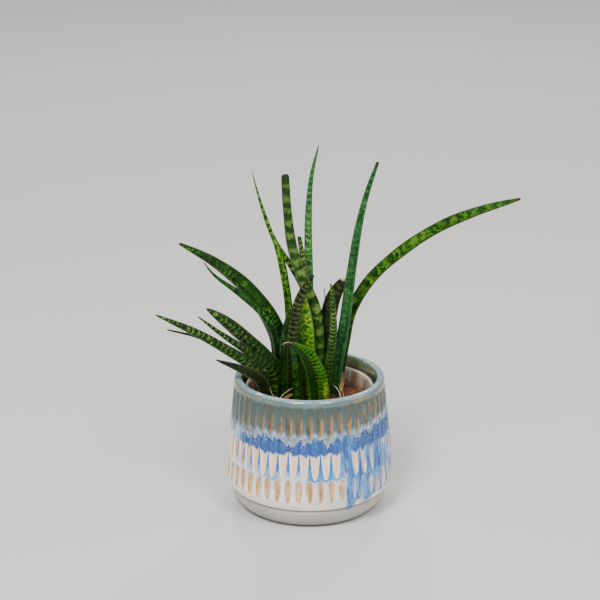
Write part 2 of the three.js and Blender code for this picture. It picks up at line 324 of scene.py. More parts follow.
def object_place(graph: Graph) -> bpy.types.NodeSocket:
    """Returns the Object coordinates."""
    return graph.node("ShaderNodeTexCoord").outputs["Object"]


# ---------------------------------------------------------------- finishes


@dataclass(frozen=True)
class Drip:
    """A run of blue glaze: its turn from the front in degrees, half width and ends in millimetres."""

    turn: float
    half_width: float
    top: float
    low: float


@dataclass(frozen=True)
class Around:
    """Where a point of the pot is: Object coordinates, height in millimetres and turn from the front.

    fade falls from 1 to 0 behind the right side, where the blue gives out, so nothing breaks at the back.
    carve runs from 0 on a rib to 1 in the middle of a petal, runs and fine are streaks, cloud and
    spots are mottles and sway is a streak value about 0 that ruffles the edges.
    """

    place: Any
    z: Any
    turn: Any
    fade: Any
    carve: Any
    runs: Any
    fine: Any
    cloud: Any
    spots: Any
    sway: Any


@dataclass(frozen=True)
class GlazeFinish(Finish):
    """The cover pot's reactive glaze: sea grey over a cobalt belt over cream, with tan petals.

    Heights are in millimetres above the underside and turns in radians to the right of the front.
    """

    ground: str = "f8f0e2"
    cream: str = "f2c49c"
    tan: str = "bd883e"
    brown: str = "6f4020"
    ochre: str = "6e5020"
    sea: str = "2c464a"
    olive: str = "2f3520"
    rim: str = "54747a"
    lip: str = "93abb0"
    break_line: str = "8e7a4e"
    haze: str = "a3c6dc"
    mist: str = "2f88cc"
    blue: str = "0056a2"
    cobalt: str = "003a80"
    ink: str = "03306e"
    teal: str = "1f6486"
    # the bare clay's pale grey, painted a little darker than the clay to stand in for shade on the foot
    foot: str = "b0ada4"
    # painted shade: the dark line in the groove above the foot
    groove: str = "716d66"
    lining: str = "7a7f5a"
    rust: str = "6d5545"
    pale_run: str = "6aa2d4"
    cool_ground: str = "dcd6d6"
    pale_belt: str = "a9bccb"
    fringe: str = "8fb4de"
    honey: str = "b98748"
    gold: str = "b8913c"
    umber: str = "5d5030"
    slate: str = "41677b"
    moss: str = "3d4b3a"
    foot_mottle: str = "94918a"
    # painted shade on the foot, darker towards the underside
    painted_foot_shade: str = "5f5d57"
    flutes: int = FLUTES
    fade_from: float = 2.15
    fade_to: float = 2.85
    blue_from: float = -1.06
    belt_low: float = 46.6
    belt_high: float = 55.2
    seam: float = 32.2
    drips: tuple[Drip, ...] = (
        Drip(27.0, 3.3, 57.0, 33.0), Drip(28.8, 2.8, 36.0, 8.5), Drip(42.5, 2.9, 32.0, 13.0),
        Drip(46.0, 1.6, 48.0, 28.0), Drip(37.5, 1.2, 46.0, 20.0), Drip(57.0, 1.8, 48.0, 22.0),
    )

    def paint(self, graph: Graph) -> dict[str, Any]:
        """Lays the glazes over each other from the clay up."""
        at = self.locate(graph)
        high = self.belt_top(graph, at)
        colour, belt = self.belt(graph, at, self.lower(graph, at), high)
        above = graph.ramp(at.z, graph.less(high, 0.7), graph.add(high, 1.0))
        colour = graph.mix(above, colour, self.upper(graph, at, high))
        colour, drip = self.run_down(graph, at, colour)
        colour, bare = self.wiped_foot(graph, at, colour, drip)
        colour = graph.mix(graph.attribute("inside"), colour, self.inner(graph, at))
        petal = graph.ramp(at.carve, 0.35, 0.85)
        rough = graph.add(
            0.13, graph.times(bare, 0.22), graph.times(at.spots, 0.07), graph.times(petal, 0.12)
        )
        height = graph.add(
            graph.times(drip, 0.8), graph.times(at.runs, 0.25), graph.times(at.spots, 0.14),
            graph.times(belt, 0.4),
        )
        return {"Base Color": colour, "Roughness": rough, "Height": height}

    def locate(self, graph: Graph) -> Around:
        """Works out where a point of the pot is, and the streaks and mottles there."""
        place = object_place(graph)
        x, y, z_m = graph.split(place)
        runs = graph.place(EFFECTS.streaks, Vector=place, Scale=330.0, Stretch=14.0, Contrast=1.7)
        turn = graph.math("ARCTAN2", x, graph.times(y, -1.0))
        sway = graph.less(runs, 0.5)
        return Around(
            place=place,
            z=graph.math("DIVIDE", z_m, MM),
            turn=turn,
            fade=graph.ramp(graph.add(turn, graph.times(sway, 0.45)), self.fade_to, self.fade_from),
            carve=graph.attribute("carve"),
            runs=runs,
            fine=graph.place(EFFECTS.streaks, Vector=place, Scale=900.0, Stretch=8.0, Contrast=1.8),
            cloud=graph.place(EFFECTS.mottle, Vector=place, Scale=45.0, Contrast=1.8),
            spots=graph.place(EFFECTS.mottle, Vector=place, Scale=420.0, Contrast=2.2),
            sway=sway,
        )

    def blue_side(self, graph: Graph, at: Around) -> Any:
        """Returns 1 where the belt is blue and 0 on the pale left side and the back."""
        return graph.times(graph.ramp(at.turn, self.blue_from - 0.08, self.blue_from + 0.08), at.fade)

    def pale_side(self, graph: Graph, at: Around, start: float, end: float) -> Any:
        """Returns a mask that rises to the left from turn start to turn end, and is 1 at the back."""
        return graph.most(graph.ramp(at.turn, start, end), graph.invert(at.fade))

    def belt_top(self, graph: Graph, at: Around) -> Any:
        """Returns the height of the belt's upper edge, ruffled and lower on the ribs."""
        return graph.add(
            self.belt_high, graph.times(at.sway, -4.5), graph.times(graph.ramp(at.carve, 0.0, 0.5), -1.3),
            graph.times(graph.ramp(at.turn, 0.5, 1.2), at.fade, 3.0),
            graph.times(self.pale_side(graph, at, -0.7, -1.2), -2.5),
        )

    def run_down(self, graph: Graph, at: Around, colour: Any) -> tuple[Any, Any]:
        """Lays the drips and their halo over colour.

        Args:
            graph: the tree to build in.
            at: where the point is.
            colour: what lies under the drips.

        Returns:
            The new colour and the drips' mask.
        """
        drip, halo = self.drip_masks(graph, at)
        flow = graph.mix(graph.ramp(at.z, 20.0, 46.0), self.mist, self.blue)
        flow = graph.mix(graph.times(graph.ramp(at.fine, 0.48, 0.72), 0.8), flow, self.cobalt)
        flow = graph.mix(graph.times(graph.ramp(at.fine, 0.3, 0.1), 0.5), flow, self.pale_run)
        colour = graph.mix(graph.times(halo, 0.45), colour, self.mist)
        return graph.mix(graph.times(drip, 0.95), colour, flow), drip

    def wiped_foot(self, graph: Graph, at: Around, colour: Any, drip: Any) -> tuple[Any, Any]:
        """Lays the bare foot and the groove above it over colour, with painted shade on both: the foot
        darkens towards the underside and the groove is a dark line.

        Args:
            graph: the tree to build in.
            at: where the point is.
            colour: what lies above the foot.
            drip: the drips' mask, which keeps some glaze on the foot.

        Returns:
            The new colour and the bare foot's mask.
        """
        bare = graph.times(graph.ramp(at.z, 13.2, 12.4), graph.invert(graph.times(drip, 0.75)))
        tone = graph.mix(graph.times(at.cloud, 0.35), self.foot, self.foot_mottle)
        # Painted shade: the foot darkens towards the underside.
        tone = graph.mix(graph.times(graph.ramp(at.z, 8.0, 1.0), 0.6), tone, self.painted_foot_shade)
        colour = graph.mix(bare, colour, tone)
        # Painted shade: a dark line in the groove above the foot.
        line = graph.times(graph.band(at.z, 12.0, 12.7, 0.25), 0.85)
        return graph.mix(line, colour, self.groove), bare

    def inner(self, graph: Graph, at: Around) -> Any:
        """Paints the glaze inside the pot, rusty just below the lip."""
        lining = graph.mix(graph.times(at.spots, 0.5), self.lining, self.sea)
        rust = graph.times(graph.band(at.z, 74.6, 76.4, 0.6), graph.ramp(at.cloud, 0.35, 0.7))
        return graph.mix(graph.times(rust, 0.8), lining, self.rust)

    def lower(self, graph: Graph, at: Around) -> Any:
        """Paints the cream part: white ground, tinted petals, and blue run down between them."""
        petal = graph.ramp(at.carve, 0.0, 0.12)
        rib = graph.invert(petal)
        low_row = graph.ramp(at.z, self.seam + 1.0, self.seam - 1.0)
        inset = graph.add(0.34, graph.times(low_row, -0.16))
        heart = graph.times(
            graph.ramp(at.carve, inset, graph.add(inset, 0.4)), graph.add(0.6, graph.times(at.fine, 0.6))
        )
        left = self.pale_side(graph, at, -0.6, -1.15)
        tint = graph.mix(graph.most(low_row, left), self.cream, self.tan)
        colour = graph.mix(graph.times(at.cloud, 0.3), self.ground, self.cool_ground)
        colour = graph.mix(graph.held(heart, 0.85), colour, tint)
        line = graph.times(graph.ramp(at.carve, 0.8, 0.98), graph.ramp(at.runs, 0.5, 0.95))
        colour = graph.mix(graph.times(line, graph.most(low_row, left), 0.6), colour, self.brown)

        blue_side = self.blue_side(graph, at)
        right = graph.times(graph.ramp(at.turn, -0.1, 0.04), at.fade)
        far = graph.times(graph.ramp(at.turn, 0.42, 0.6), at.fade)
        edge = graph.times(graph.ramp(at.carve, 0.3, 0.08), blue_side, graph.ramp(at.z, 18.0, 40.0), 0.6)
        colour = graph.mix(edge, colour, self.haze)
        sink = graph.most(graph.ramp(at.z, self.seam - 2.0, self.belt_low - 5.0), right)
        ribs = graph.times(rib, graph.band(at.z, self.seam - 0.5, 60.0, 1.0), blue_side, sink, 1.2)
        low_ribs = graph.times(
            rib, graph.band(at.z, 17.5, self.seam, 1.2), graph.add(right, far, far, far), 0.28
        )
        patch = graph.times(graph.band(at.turn, -0.64, -0.36, 0.06), 0.8)
        ruffle = graph.add(at.z, graph.times(at.sway, 2.4))
        pool = graph.times(
            graph.band(ruffle, self.seam - 0.7, self.seam + 3.0, 0.9), rib, graph.most(right, patch),
        )
        amount = graph.most(graph.times(ribs, graph.add(0.62, at.runs)), graph.most(low_ribs, pool))
        wet = graph.add(
            graph.ramp(at.z, self.seam, self.belt_low - 3), graph.times(far, 0.6), graph.times(at.sway, 0.6)
        )
        blue = graph.mix(graph.held(wet, 1.0), self.mist, self.blue)
        wash = graph.times(
            graph.ramp(at.turn, 0.5, 0.9), at.fade, graph.ramp(at.runs, 0.2, 0.6),
            graph.ramp(at.z, 18.0, 28.0), 0.85,
        )
        colour = graph.mix(wash, colour, self.mist)
        return graph.mix(graph.held(amount, 0.95), colour, blue)

    def belt(self, graph: Graph, at: Around, colour: Any, high: Any) -> tuple[Any, Any]:
        """Paints the cobalt belt with its pale flecks over colour.

        Args:
            graph: the tree to build in.
            at: where the point is.
            colour: what lies under the belt.
            high: the height of the belt's upper edge.

        Returns:
            The new colour and the belt's mask.
        """
        low = graph.add(self.belt_low + 1.0, graph.times(at.carve, -1.6), graph.times(at.sway, 2.2))
        mask = graph.times(
            graph.ramp(at.z, graph.less(low, 1.0), graph.add(low, 0.8)),
            graph.ramp(at.z, graph.add(high, 0.8), graph.less(high, 0.8)),
        )
        lift = graph.held(graph.ramp(at.carve, 0.1, 0.8), graph.add(0.35, at.spots))
        deep = graph.mix(lift, self.cobalt, self.blue)
        deep = graph.mix(graph.times(graph.ramp(at.runs, 0.55, 0.95), 0.7), deep, self.ink)
        flecks = graph.place(EFFECTS.flecks, Vector=at.place, Scale=1050.0, Size=0.42, Amount=0.42)
        crowd = graph.ramp(at.z, graph.less(high, 6.5), high)
        deep = graph.mix(graph.times(flecks, crowd, 0.85), deep, self.haze)
        blue_side = self.blue_side(graph, at)
        deep = graph.mix(blue_side, graph.mix(at.runs, self.pale_belt, self.haze), deep)
        return graph.mix(mask, colour, deep), graph.times(mask, blue_side)

    def upper(self, graph: Graph, at: Around, high: Any) -> Any:
        """Paints what is above the belt: the pale fringe, the ochre hollows, the sea-grey veil and rim."""
        rib = graph.ramp(at.carve, 0.28, 0.02)
        hollow = graph.ramp(at.carve, 0.2, 0.7)
        far = graph.times(graph.ramp(at.turn, 0.15, 0.8), at.fade)
        shade = graph.mix(graph.ramp(at.runs, 0.25, 0.75), self.sea, self.olive)
        warm = graph.times(
            hollow, graph.band(at.z, 53.0, 69.5, 3.0), graph.add(-0.1, at.fine, graph.times(far, 0.2))
        )
        shade = graph.mix(graph.held(warm, 1.05), shade, self.ochre)
        pitches = graph.times(at.turn, self.flutes / (2 * math.pi))
        part = graph.math("FRACT", graph.add(pitches, self.flutes + 0.5))
        streak = graph.times(
            graph.band(part, 0.6, 0.84, 0.1), graph.band(at.z, 55.5, 68.5, 2.5), graph.invert(far)
        )
        shade = graph.mix(graph.times(streak, graph.add(0.45, graph.times(at.spots, 0.5))), shade, self.honey)
        peach = graph.times(hollow, graph.ramp(at.z, 64.0, 57.0), graph.ramp(at.spots, 0.4, 0.8), 0.3)
        gold = graph.times(
            hollow, far, graph.ramp(at.fine, 0.45, 0.75), graph.band(at.z, 56.0, 71.0, 2.0), 0.8
        )
        shade = graph.mix(gold, shade, self.gold)
        shade = graph.mix(peach, shade, self.tan)
        dark = graph.times(
            graph.ramp(at.carve, 0.55, 0.95), graph.ramp(at.fine, 0.62, 0.9),
            graph.band(at.z, 57.0, 69.0, 2.0),
        )
        shade = graph.mix(graph.times(dark, 0.5), shade, self.umber)
        cool = graph.mix(far, self.slate, self.teal)
        ridge = graph.times(rib, graph.add(0.45, graph.times(at.fine, 0.5)), graph.ramp(at.z, 74.0, 66.0))
        shade = graph.mix(ridge, shade, cool)
        veil = graph.times(graph.ramp(at.z, 61.0, 69.0), graph.add(0.5, graph.times(at.cloud, 0.45)))
        shade = graph.mix(veil, shade, graph.mix(at.runs, self.sea, self.moss))
        fringe = graph.ramp(at.z, graph.add(high, 6.0, graph.times(at.sway, 5.0)), graph.add(high, 0.3))
        light = graph.mix(at.spots, self.haze, self.fringe)
        shade = graph.mix(graph.times(fringe, graph.add(0.5, graph.times(rib, 0.45))), shade, light)
        rim_mask = graph.ramp(at.z, graph.add(73.6, at.sway), graph.add(75.4, at.sway))
        rim = graph.mix(graph.ramp(at.z, 76.3, 77.8), self.rim, self.lip)
        rim = graph.mix(graph.times(at.spots, 0.35), rim, self.sea)
        shade = graph.mix(rim_mask, shade, rim)
        aside = graph.add(0.25, graph.ramp(graph.math("ABSOLUTE", at.turn), 0.35, 0.75))
        edge = graph.times(
            graph.band(graph.add(at.z, at.sway), 74.3, 76.5, 0.6), graph.ramp(at.spots, 0.3, 0.65), aside
        )
        return graph.mix(graph.held(edge, 0.75), shade, self.break_line)

    def drip_masks(self, graph: Graph, at: Around) -> tuple[Any, Any]:
        """Builds the drips' masks.

        Args:
            graph: the tree to build in.
            at: where the point is.

        Returns:
            The drips and the pale halo beside them, each from 0 to 1.
        """
        radius = 46.0
        drip: Any = 0.0
        halo: Any = 0.0
        swing = graph.times(graph.math("SINE", graph.times(at.z, 0.33)), 0.5)
        for run in self.drips:
            offset = graph.times(graph.less(at.turn, math.radians(run.turn)), radius)
            offset = graph.math("ABSOLUTE", graph.add(offset, graph.times(at.sway, 0.9), swing))
            length = graph.times(
                graph.ramp(at.z, run.low - 0.8, run.low + 3.0), graph.ramp(at.z, run.top + 2, run.top - 3)
            )
            core = graph.times(graph.ramp(offset, run.half_width, run.half_width * 0.5), length)
            edge = graph.times(graph.ramp(offset, run.half_width * 1.9, run.half_width * 0.9), length)
            drip = graph.most(drip, core)
            halo = graph.most(halo, edge)
        return drip, halo


@dataclass(frozen=True)
class PlasticFinish(Finish):
    """The nursery pot's thin taupe plastic, drawn in upright streaks."""

    body: str = "77604f"
    pale: str = "a08d7c"
    edge: str = "c4b9a6"
    low_dark: str = "4b3325"
    rim_height: float = 70.4

    def paint(self, graph: Graph) -> dict[str, Any]:
        """Streaks the wall, darkens it in blotches towards the coir and lightens the rim."""
        place = object_place(graph)
        z = graph.math("DIVIDE", graph.split(place)[2], MM)
        lines = graph.place(EFFECTS.streaks, Vector=place, Scale=260.0, Stretch=30.0, Contrast=2.4)
        blotches = graph.place(EFFECTS.mottle, Vector=place, Scale=600.0, Contrast=1.4)
        colour = graph.mix(lines, self.body, self.pale)
        # The wall darkens in blotches from 67 mm down to 62 mm, towards the coir.
        colour = graph.mix(graph.times(graph.ramp(z, 67.0, 62.0), blotches), colour, self.low_dark)
        colour = graph.mix(graph.ramp(z, self.rim_height, self.rim_height + 0.5), colour, self.edge)
        return {"Base Color": colour, "Roughness": graph.add(0.38, graph.times(blotches, 0.2)), "Height": lines}


@dataclass(frozen=True)
class CoirFinish(Finish):
    """Damp coir: red-brown pith with lighter and darker bits."""

    pith: str = "622f12"
    dark: str = "2c1208"
    straw: str = "98602e"

    def paint(self, graph: Graph) -> dict[str, Any]:
        """Mixes three browns in small clumps."""
        place = object_place(graph)
        clumps = graph.place(EFFECTS.mottle, Vector=place, Scale=260.0, Contrast=2.4)
        bits = graph.place(EFFECTS.mottle, Vector=place, Scale=1100.0, Contrast=2.4)
        flecks = graph.place(EFFECTS.flecks, Vector=place, Scale=700.0, Size=0.4, Amount=0.25)
        colour = graph.mix(clumps, self.dark, self.pith)
        colour = graph.mix(graph.times(bits, 0.6), colour, self.pith)
        colour = graph.mix(graph.times(flecks, 0.7), colour, self.straw)
        return {"Base Color": colour, "Roughness": graph.add(0.8, graph.times(bits, 0.15)), "Height": bits}


@dataclass(frozen=True)
class FibreFinish(Finish):
    """Dry plant fibre: coir hairs, sheaths and shrivelled threads."""

    light: str = "c98a4c"
    dark: str = "7a3f1b"
    scale: float = 300.0

    def paint(self, graph: Graph) -> dict[str, Any]:
        """Varies the tone from piece to piece and along the grain."""
        place = object_place(graph)
        tone = graph.place(EFFECTS.mottle, Vector=place, Scale=self.scale, Contrast=2.2)
        grain = graph.place(EFFECTS.streaks, Vector=place, Scale=2200.0, Stretch=6.0, Contrast=1.5)
        colour = graph.mix(tone, self.dark, self.light)
        colour = graph.mix(graph.times(grain, 0.3), colour, self.dark)
        return {"Base Color": colour, "Roughness": graph.add(0.55, graph.times(grain, 0.25)), "Height": grain}


@dataclass(frozen=True)
class LeafFinish(Finish):
    """A leaf: deep green flesh with broken pale marks, lengthwise lines, a margin and a dry tip.

    period is the distance between marks in millimetres, sweep how far they bend towards the tip at
    the margins in periods, ragged how uneven they are and cover how much of the leaf stays dark.
    patchy is how far the marks come and go, middle how far they keep off the margins,
    painted_wing_shade how far painted shade darkens the left half, as if the channel's left wing lay
    in shadow, shade how far painted shade darkens the leaf down in the clump, between the heights
    shade_top and shade_low in metres, and fade how much darker it is towards its tip. root_tone tints
    the root_share of the leaf nearest the crown by root_weight, kept to the lit right edge by
    painted_wing_shade.
    """

    ior: float = 1.24
    bump: float = 0.4
    relief: float = 0.15
    pale: str = "7f9644"
    flesh: str = "2c5217"
    dark: str = "10290b"
    margin: str = "1b3d1a"
    root_tone: str = "7d9a2c"
    tip: str = "352d18"
    edge_tone: str = "a8a070"
    edge_line: float = 0.12
    period: float = 3.4
    sweep: float = 0.4
    ragged: float = 0.8
    cover: float = 0.3
    patchy: float = 0.6
    middle: float = 0.3
    # painted shade on the channel's left wing, as if it lay in shadow
    painted_wing_shade: float = 0.0
    lines: float = 0.3
    # painted shade down in the clump, between shade_top and shade_low
    shade: float = 0.55
    shade_top: float = 0.118
    shade_low: float = 0.082
    fade: float = 0.0
    root_share: float = 0.25
    root_weight: float = 0.0
    gloss: float = 0.33

    def paint(self, graph: Graph) -> dict[str, Any]:
        """Draws the marks along the leaf and the lines, margin and tip over them."""
        place = object_place(graph)
        along = graph.attribute("along")
        share = graph.attribute("share")
        across = graph.attribute("across")
        side = graph.math("ABSOLUTE", across)
        channel = graph.attribute("channel_side")
        lane = graph.join(graph.times(across, 1.7), graph.times(along, 0.02), graph.times(channel, 3.0))
        grain = graph.noise(lane, 7.0, 4.0)
        broad, small, fine = [
            graph.less(graph.place(EFFECTS.mottle, Vector=place, Scale=scale, Contrast=contrast), 0.5)
            for scale, contrast in ((95.0, 1.4), (380.0, 1.5), (1200.0, 1.6))
        ]
        phase = graph.add(
            graph.math("DIVIDE", along, self.period), graph.times(side, side, -self.sweep),
            graph.times(broad, self.ragged), graph.times(small, self.ragged * 0.5),
        )
        wave = graph.math("SINE", graph.times(phase, 2 * math.pi))
        level = graph.add(
            wave, -self.cover, small, fine,
            graph.times(graph.ramp(side, 0.35, 0.85), -1.5 * self.middle),
        )
        patch = graph.ramp(graph.noise(place, 62.0, 2.0), 0.4, 0.6)
        kept = graph.add(1.0 - self.patchy, graph.times(patch, self.patchy))
        mark = graph.times(graph.ramp(level, -0.6, 0.75), kept)
        line = graph.ramp(grain, 0.46, 0.7)
        cloud = graph.ramp(graph.add(broad, graph.times(fine, 0.4)), -0.35, 0.35)
        body = graph.mix(cloud, self.dark, self.flesh)
        body = graph.mix(graph.times(line, self.lines), body, self.margin)
        light = graph.mix(graph.times(line, self.lines), self.pale, self.flesh)
        colour = graph.mix(mark, body, light)
        # Where the wing's painted shade is set, the root tint keeps to the lit right edge, off the shaded
        # wing.
        lit_edge = graph.invert(graph.times(graph.ramp(across, 0.7, 0.3), self.painted_wing_shade))
        near = graph.ramp(share, self.root_share, self.root_share * 0.3)
        foot = graph.times(near, self.root_weight, lit_edge)
        colour = graph.mix(graph.times(foot, graph.add(0.65, small)), colour, self.root_tone)
        # Painted shade: the leaf darkens down in the clump, from shade_top to shade_low.
        low = graph.times(graph.ramp(graph.split(place)[2], self.shade_top, self.shade_low), self.shade)
        colour = graph.mix(low, colour, self.dark)
        upper = graph.times(graph.ramp(share, 0.55, 0.95), self.fade)
        colour = graph.mix(upper, colour, self.dark)
        # Painted shade: the left wing of the channel darkens, as if it lay in shadow.
        shaded = graph.times(graph.ramp(across, 0.12, -0.2), self.painted_wing_shade)
        colour = graph.mix(graph.times(shaded, 0.88), colour, self.dark)
        colour = graph.mix(graph.times(graph.ramp(side, 0.78, 0.96), 0.7), colour, self.margin)
        colour = graph.mix(graph.times(graph.ramp(side, 0.955, 0.99), self.edge_line), colour, self.edge_tone)
        colour = graph.mix(graph.ramp(share, 0.975, 0.99), colour, self.tip)
        rough = graph.add(self.gloss, graph.times(mark, -0.04), graph.times(fine, 0.14))
        height = graph.add(graph.times(grain, 0.9), graph.times(fine, 0.35), graph.times(mark, 0.12))
        return {"Base Color": colour, "Roughness": rough, "Height": height}


@dataclass(frozen=True)
class FloorFinish(Finish):
    """The plain pale floor."""

    tone: str = "d9d8d6"
    cloud_tone: str = "cfcfce"

    def paint(self, graph: Graph) -> dict[str, Any]:
        """Breaks the tone up very slightly."""
        cloud = graph.place(EFFECTS.mottle, Vector=object_place(graph), Scale=8.0, Contrast=0.6)
        colour = graph.mix(graph.times(cloud, 0.12), self.tone, self.cloud_tone)
        return {"Base Color": colour, "Roughness": 0.55}


@lru_cache(maxsize=None)
def material_of(finish: Finish) -> bpy.types.Material:
    """Builds a finish the first time that it is asked for and returns its material."""
    return finish.build()


GLAZE = GlazeFinish("running_glaze", "glazed_ceramic", coat=0.6, bump=0.55, relief=0.25)
PLASTIC = PlasticFinish("nursery_plastic", "nursery_plastic", bump=0.15)
COIR = CoirFinish("damp_coir", "coir", bump=0.8, relief=0.5)
COIR_FIBRE = FibreFinish("coir_fibre", "coir")
DRY_SHEATH = FibreFinish("dry_sheath", "dry_sheath", light="9c7344", dark="5f3d20", scale=250.0)
PALE_THREAD = FibreFinish("pale_thread", "dry_sheath", light="e3d6b8", dark="b08f6a", scale=200.0)
ROOT_SKIN = FibreFinish("root_skin", "root", light="c7ab78", dark="8c6b40", scale=150.0)
BANDED = LeafFinish(
    "leaf_ringed", "leaf_banded", pale="627c34", flesh="1f440f", dark="123006", margin="152a0e",
    tip="1c3012", period=7.5, sweep=0.1, ragged=0.5, fade=0.5, cover=0.1, patchy=0.15, middle=0.0,
    lines=0.25,
)
FINE_BANDED = LeafFinish(
    "leaf_fine_banded", "leaf_banded", pale="7d9a3a", period=4.2, cover=0.2, flesh="264e10",
    dark="143408", margin="1e4412",
)
OLIVE_BANDED = LeafFinish(
    "leaf_olive_banded", "leaf_banded", pale="485a26", flesh="182a0d", dark="0c1707", margin="18240c",
    period=2.9, sweep=0.6, ragged=0.45, cover=0.3, patchy=0.35, middle=0.1,
)
CHEVRON = LeafFinish(
    "leaf_chevron", "leaf_banded", pale="6e8c3e", flesh="1f460e", dark="112c08", margin="183410",
    period=2.35, sweep=0.9, ragged=0.3, cover=0.5, patchy=0.25, middle=0.2, root_tone="93a838",
    root_weight=0.7, root_share=0.3,
)
SPOTTED = LeafFinish(
    "leaf_spotted", "leaf_banded", pale="648838", flesh="123208", dark="081c03", period=3.1, sweep=0.5,
    ragged=0.8, cover=0.5, patchy=0.5, middle=0.35, margin="0f2f08",
)
BLOTCHED = LeafFinish(
    "leaf_blotched", "leaf_banded", pale="4d7a18", flesh="1c4c0a", dark="0e3005", margin="0f2c07",
    tip="2c2a16", period=7.5, sweep=0.3, ragged=0.8, cover=0.0, patchy=0.55, middle=0.6,
)
DARK = LeafFinish(
    "leaf_dark", "leaf_dark", pale="4a7c1c", flesh="103806", dark="061f03", margin="0c2c06",
    tip="3c3320", period=4.4, sweep=0.2, ragged=1.5, cover=0.5, patchy=0.75, middle=0.3, gloss=0.3,
    shade=0.65,
)
OLIVE = LeafFinish(
    "leaf_olive", "leaf_dark", pale="35431a", flesh="1c270b", dark="0f1706", margin="232d12",
    edge_line=0.5, period=4.0, ragged=1.2, cover=0.6, patchy=0.7, lines=0.5,
)
BROWNED = LeafFinish(
    "leaf_browned", "leaf_dark", pale="37441a", flesh="18240a", dark="0d1407", margin="151a09",
    tip="b4a67c", period=4.0, sweep=0.3, ragged=0.9, cover=0.1, patchy=0.4, lines=0.5, gloss=0.4,
)
BRIGHT = LeafFinish(
    "leaf_bright", "leaf_bright", pale="50821f", flesh="265a0b", dark="081f03", margin="245a10",
    root_tone="b9c83a", period=2.2, sweep=0.35, ragged=0.6, cover=0.4, patchy=0.3, middle=0.1, painted_wing_shade=1.0,
    lines=0.4, root_share=0.5, root_weight=0.8, shade=0.0,
)
SUNLIT = LeafFinish(
    "leaf_sunlit", "leaf_bright", pale="90b02a", flesh="2b7010", dark="124206", margin="245c12",
    root_tone="b0a022", period=4.2, sweep=0.3, ragged=1.2, cover=0.1, patchy=0.35, middle=0.1,
    painted_wing_shade=0.75, lines=0.5, root_share=0.55, root_weight=0.75, shade=0.3,
)
YELLOWED = LeafFinish(
    "leaf_yellowed", "leaf_bright", pale="6c8a30", flesh="2b5614", dark="16380c", margin="284a14",
    tip="1f3a14", period=2.6, sweep=0.1, ragged=0.6, cover=0.1, patchy=0.2, middle=0.1, lines=0.2,
)
FRESH = LeafFinish(
    "leaf_fresh", "leaf_bright", pale="74a42a", flesh="1a5a0c", dark="0c3407", margin="1c5014",
    tip="3f5a2a", period=6.5, sweep=0.3, ragged=1.6, cover=0.15, patchy=0.3, middle=0.2, lines=0.3,
)
BLUE_GREEN = LeafFinish(
    "leaf_blue_green", "leaf_blue_green", pale="4c7f3c", flesh="225424", dark="13391b", margin="214e34",
    tip="2e3a22", period=4.6, sweep=0.4, ragged=1.2, cover=0.4, patchy=0.5, middle=0.5, lines=0.8,
    shade=0.4,
)
NEEDLE = LeafFinish(
    "leaf_needle", "leaf_blue_green", pale="7cae40", flesh="2f742c", dark="17482a", margin="2f6448",
    tip="3f5f4c", period=4.0, sweep=0.7, ragged=0.7, cover=0.15, patchy=0.4, middle=0.7, lines=0.6,
    fade=0.6,
)
DEEP_BLUE_GREEN = LeafFinish(
    "leaf_deep_blue_green", "leaf_blue_green", pale="437a2a", flesh="103812", dark="061f08",
    margin="0c2c10", period=4.4, sweep=0.2, ragged=1.5, cover=0.5, patchy=0.75, middle=0.3, gloss=0.3,
    shade=0.65,
)


# ---------------------------------------------------------------- meshes


def new_object(name: str, mesh: bpy.types.Mesh) -> bpy.types.Object:
    """Links a new object with that mesh at the origin and returns it."""
    made = bpy.data.objects.new(name, mesh)
    bpy.context.scene.collection.objects.link(made)
    return made


def mesh_object(name: str, vertices: np.ndarray, faces: Sequence[Sequence[int]]) -> bpy.types.Object:
    """Makes a smooth-shaded object.

    Args:
        name: its name.
        vertices: n by 3 positions in metres.
        faces: vertex numbers of each face, turning left as seen from outside.

    Returns:
        The linked object.
    """
    mesh = bpy.data.meshes.new(name)
    mesh.from_pydata(vertices.tolist(), [], faces)
    mesh.shade_smooth()
    mesh.validate()
    return new_object(name, mesh)


def store(piece: bpy.types.Object, name: str, values: np.ndarray) -> None:
    """Stores one float per vertex on a piece."""
    layer = piece.data.attributes.new(name, "FLOAT", "POINT")
    layer.data.foreach_set("value", np.asarray(values, dtype=np.float32).ravel())


def ring_faces(rings: int, around: int, start: int = 0) -> list[tuple[int, int, int, int]]:
    """Joins rings of vertices into quads.

    Args:
        rings: how many rings there are.
        around: vertices in each ring.
        start: the first vertex's number.

    Returns:
        The faces, which look outwards where rings run upwards and turn anticlockwise.
    """
    faces = []
    for ring in range(rings - 1):
        for i in range(around):
            a = start + ring * around + i
            b = start + ring * around + (i + 1) % around
            faces.append((a, b, b + around, a + around))
    return faces


def closed_faces(rings: int, around: int) -> list[tuple[int, ...]]:
    """Joins rings of vertices into quads and closes both ends with triangles.

    Args:
        rings: how many rings there are; the lower pole's vertex and then the upper one's follow them.
        around: vertices in each ring.

    Returns:
        The faces, which look outwards.
    """
    faces: list[tuple[int, ...]] = list(ring_faces(rings, around))
    lower = rings * around
    last = lower - around
    for i in range(around):
        after = (i + 1) % around
        faces.append((lower, after, i))
        faces.append((lower + 1, last + i, last + after))
    return faces


def turns(around: int) -> np.ndarray:
    """Returns that many even turns of a circle in radians, from 0."""
    return np.arange(around) * 2 * np.pi / around


def unit_rows(vectors: np.ndarray) -> np.ndarray:
    """Returns each row of vectors at length 1."""
    return vectors / np.linalg.norm(vectors, axis=1, keepdims=True)


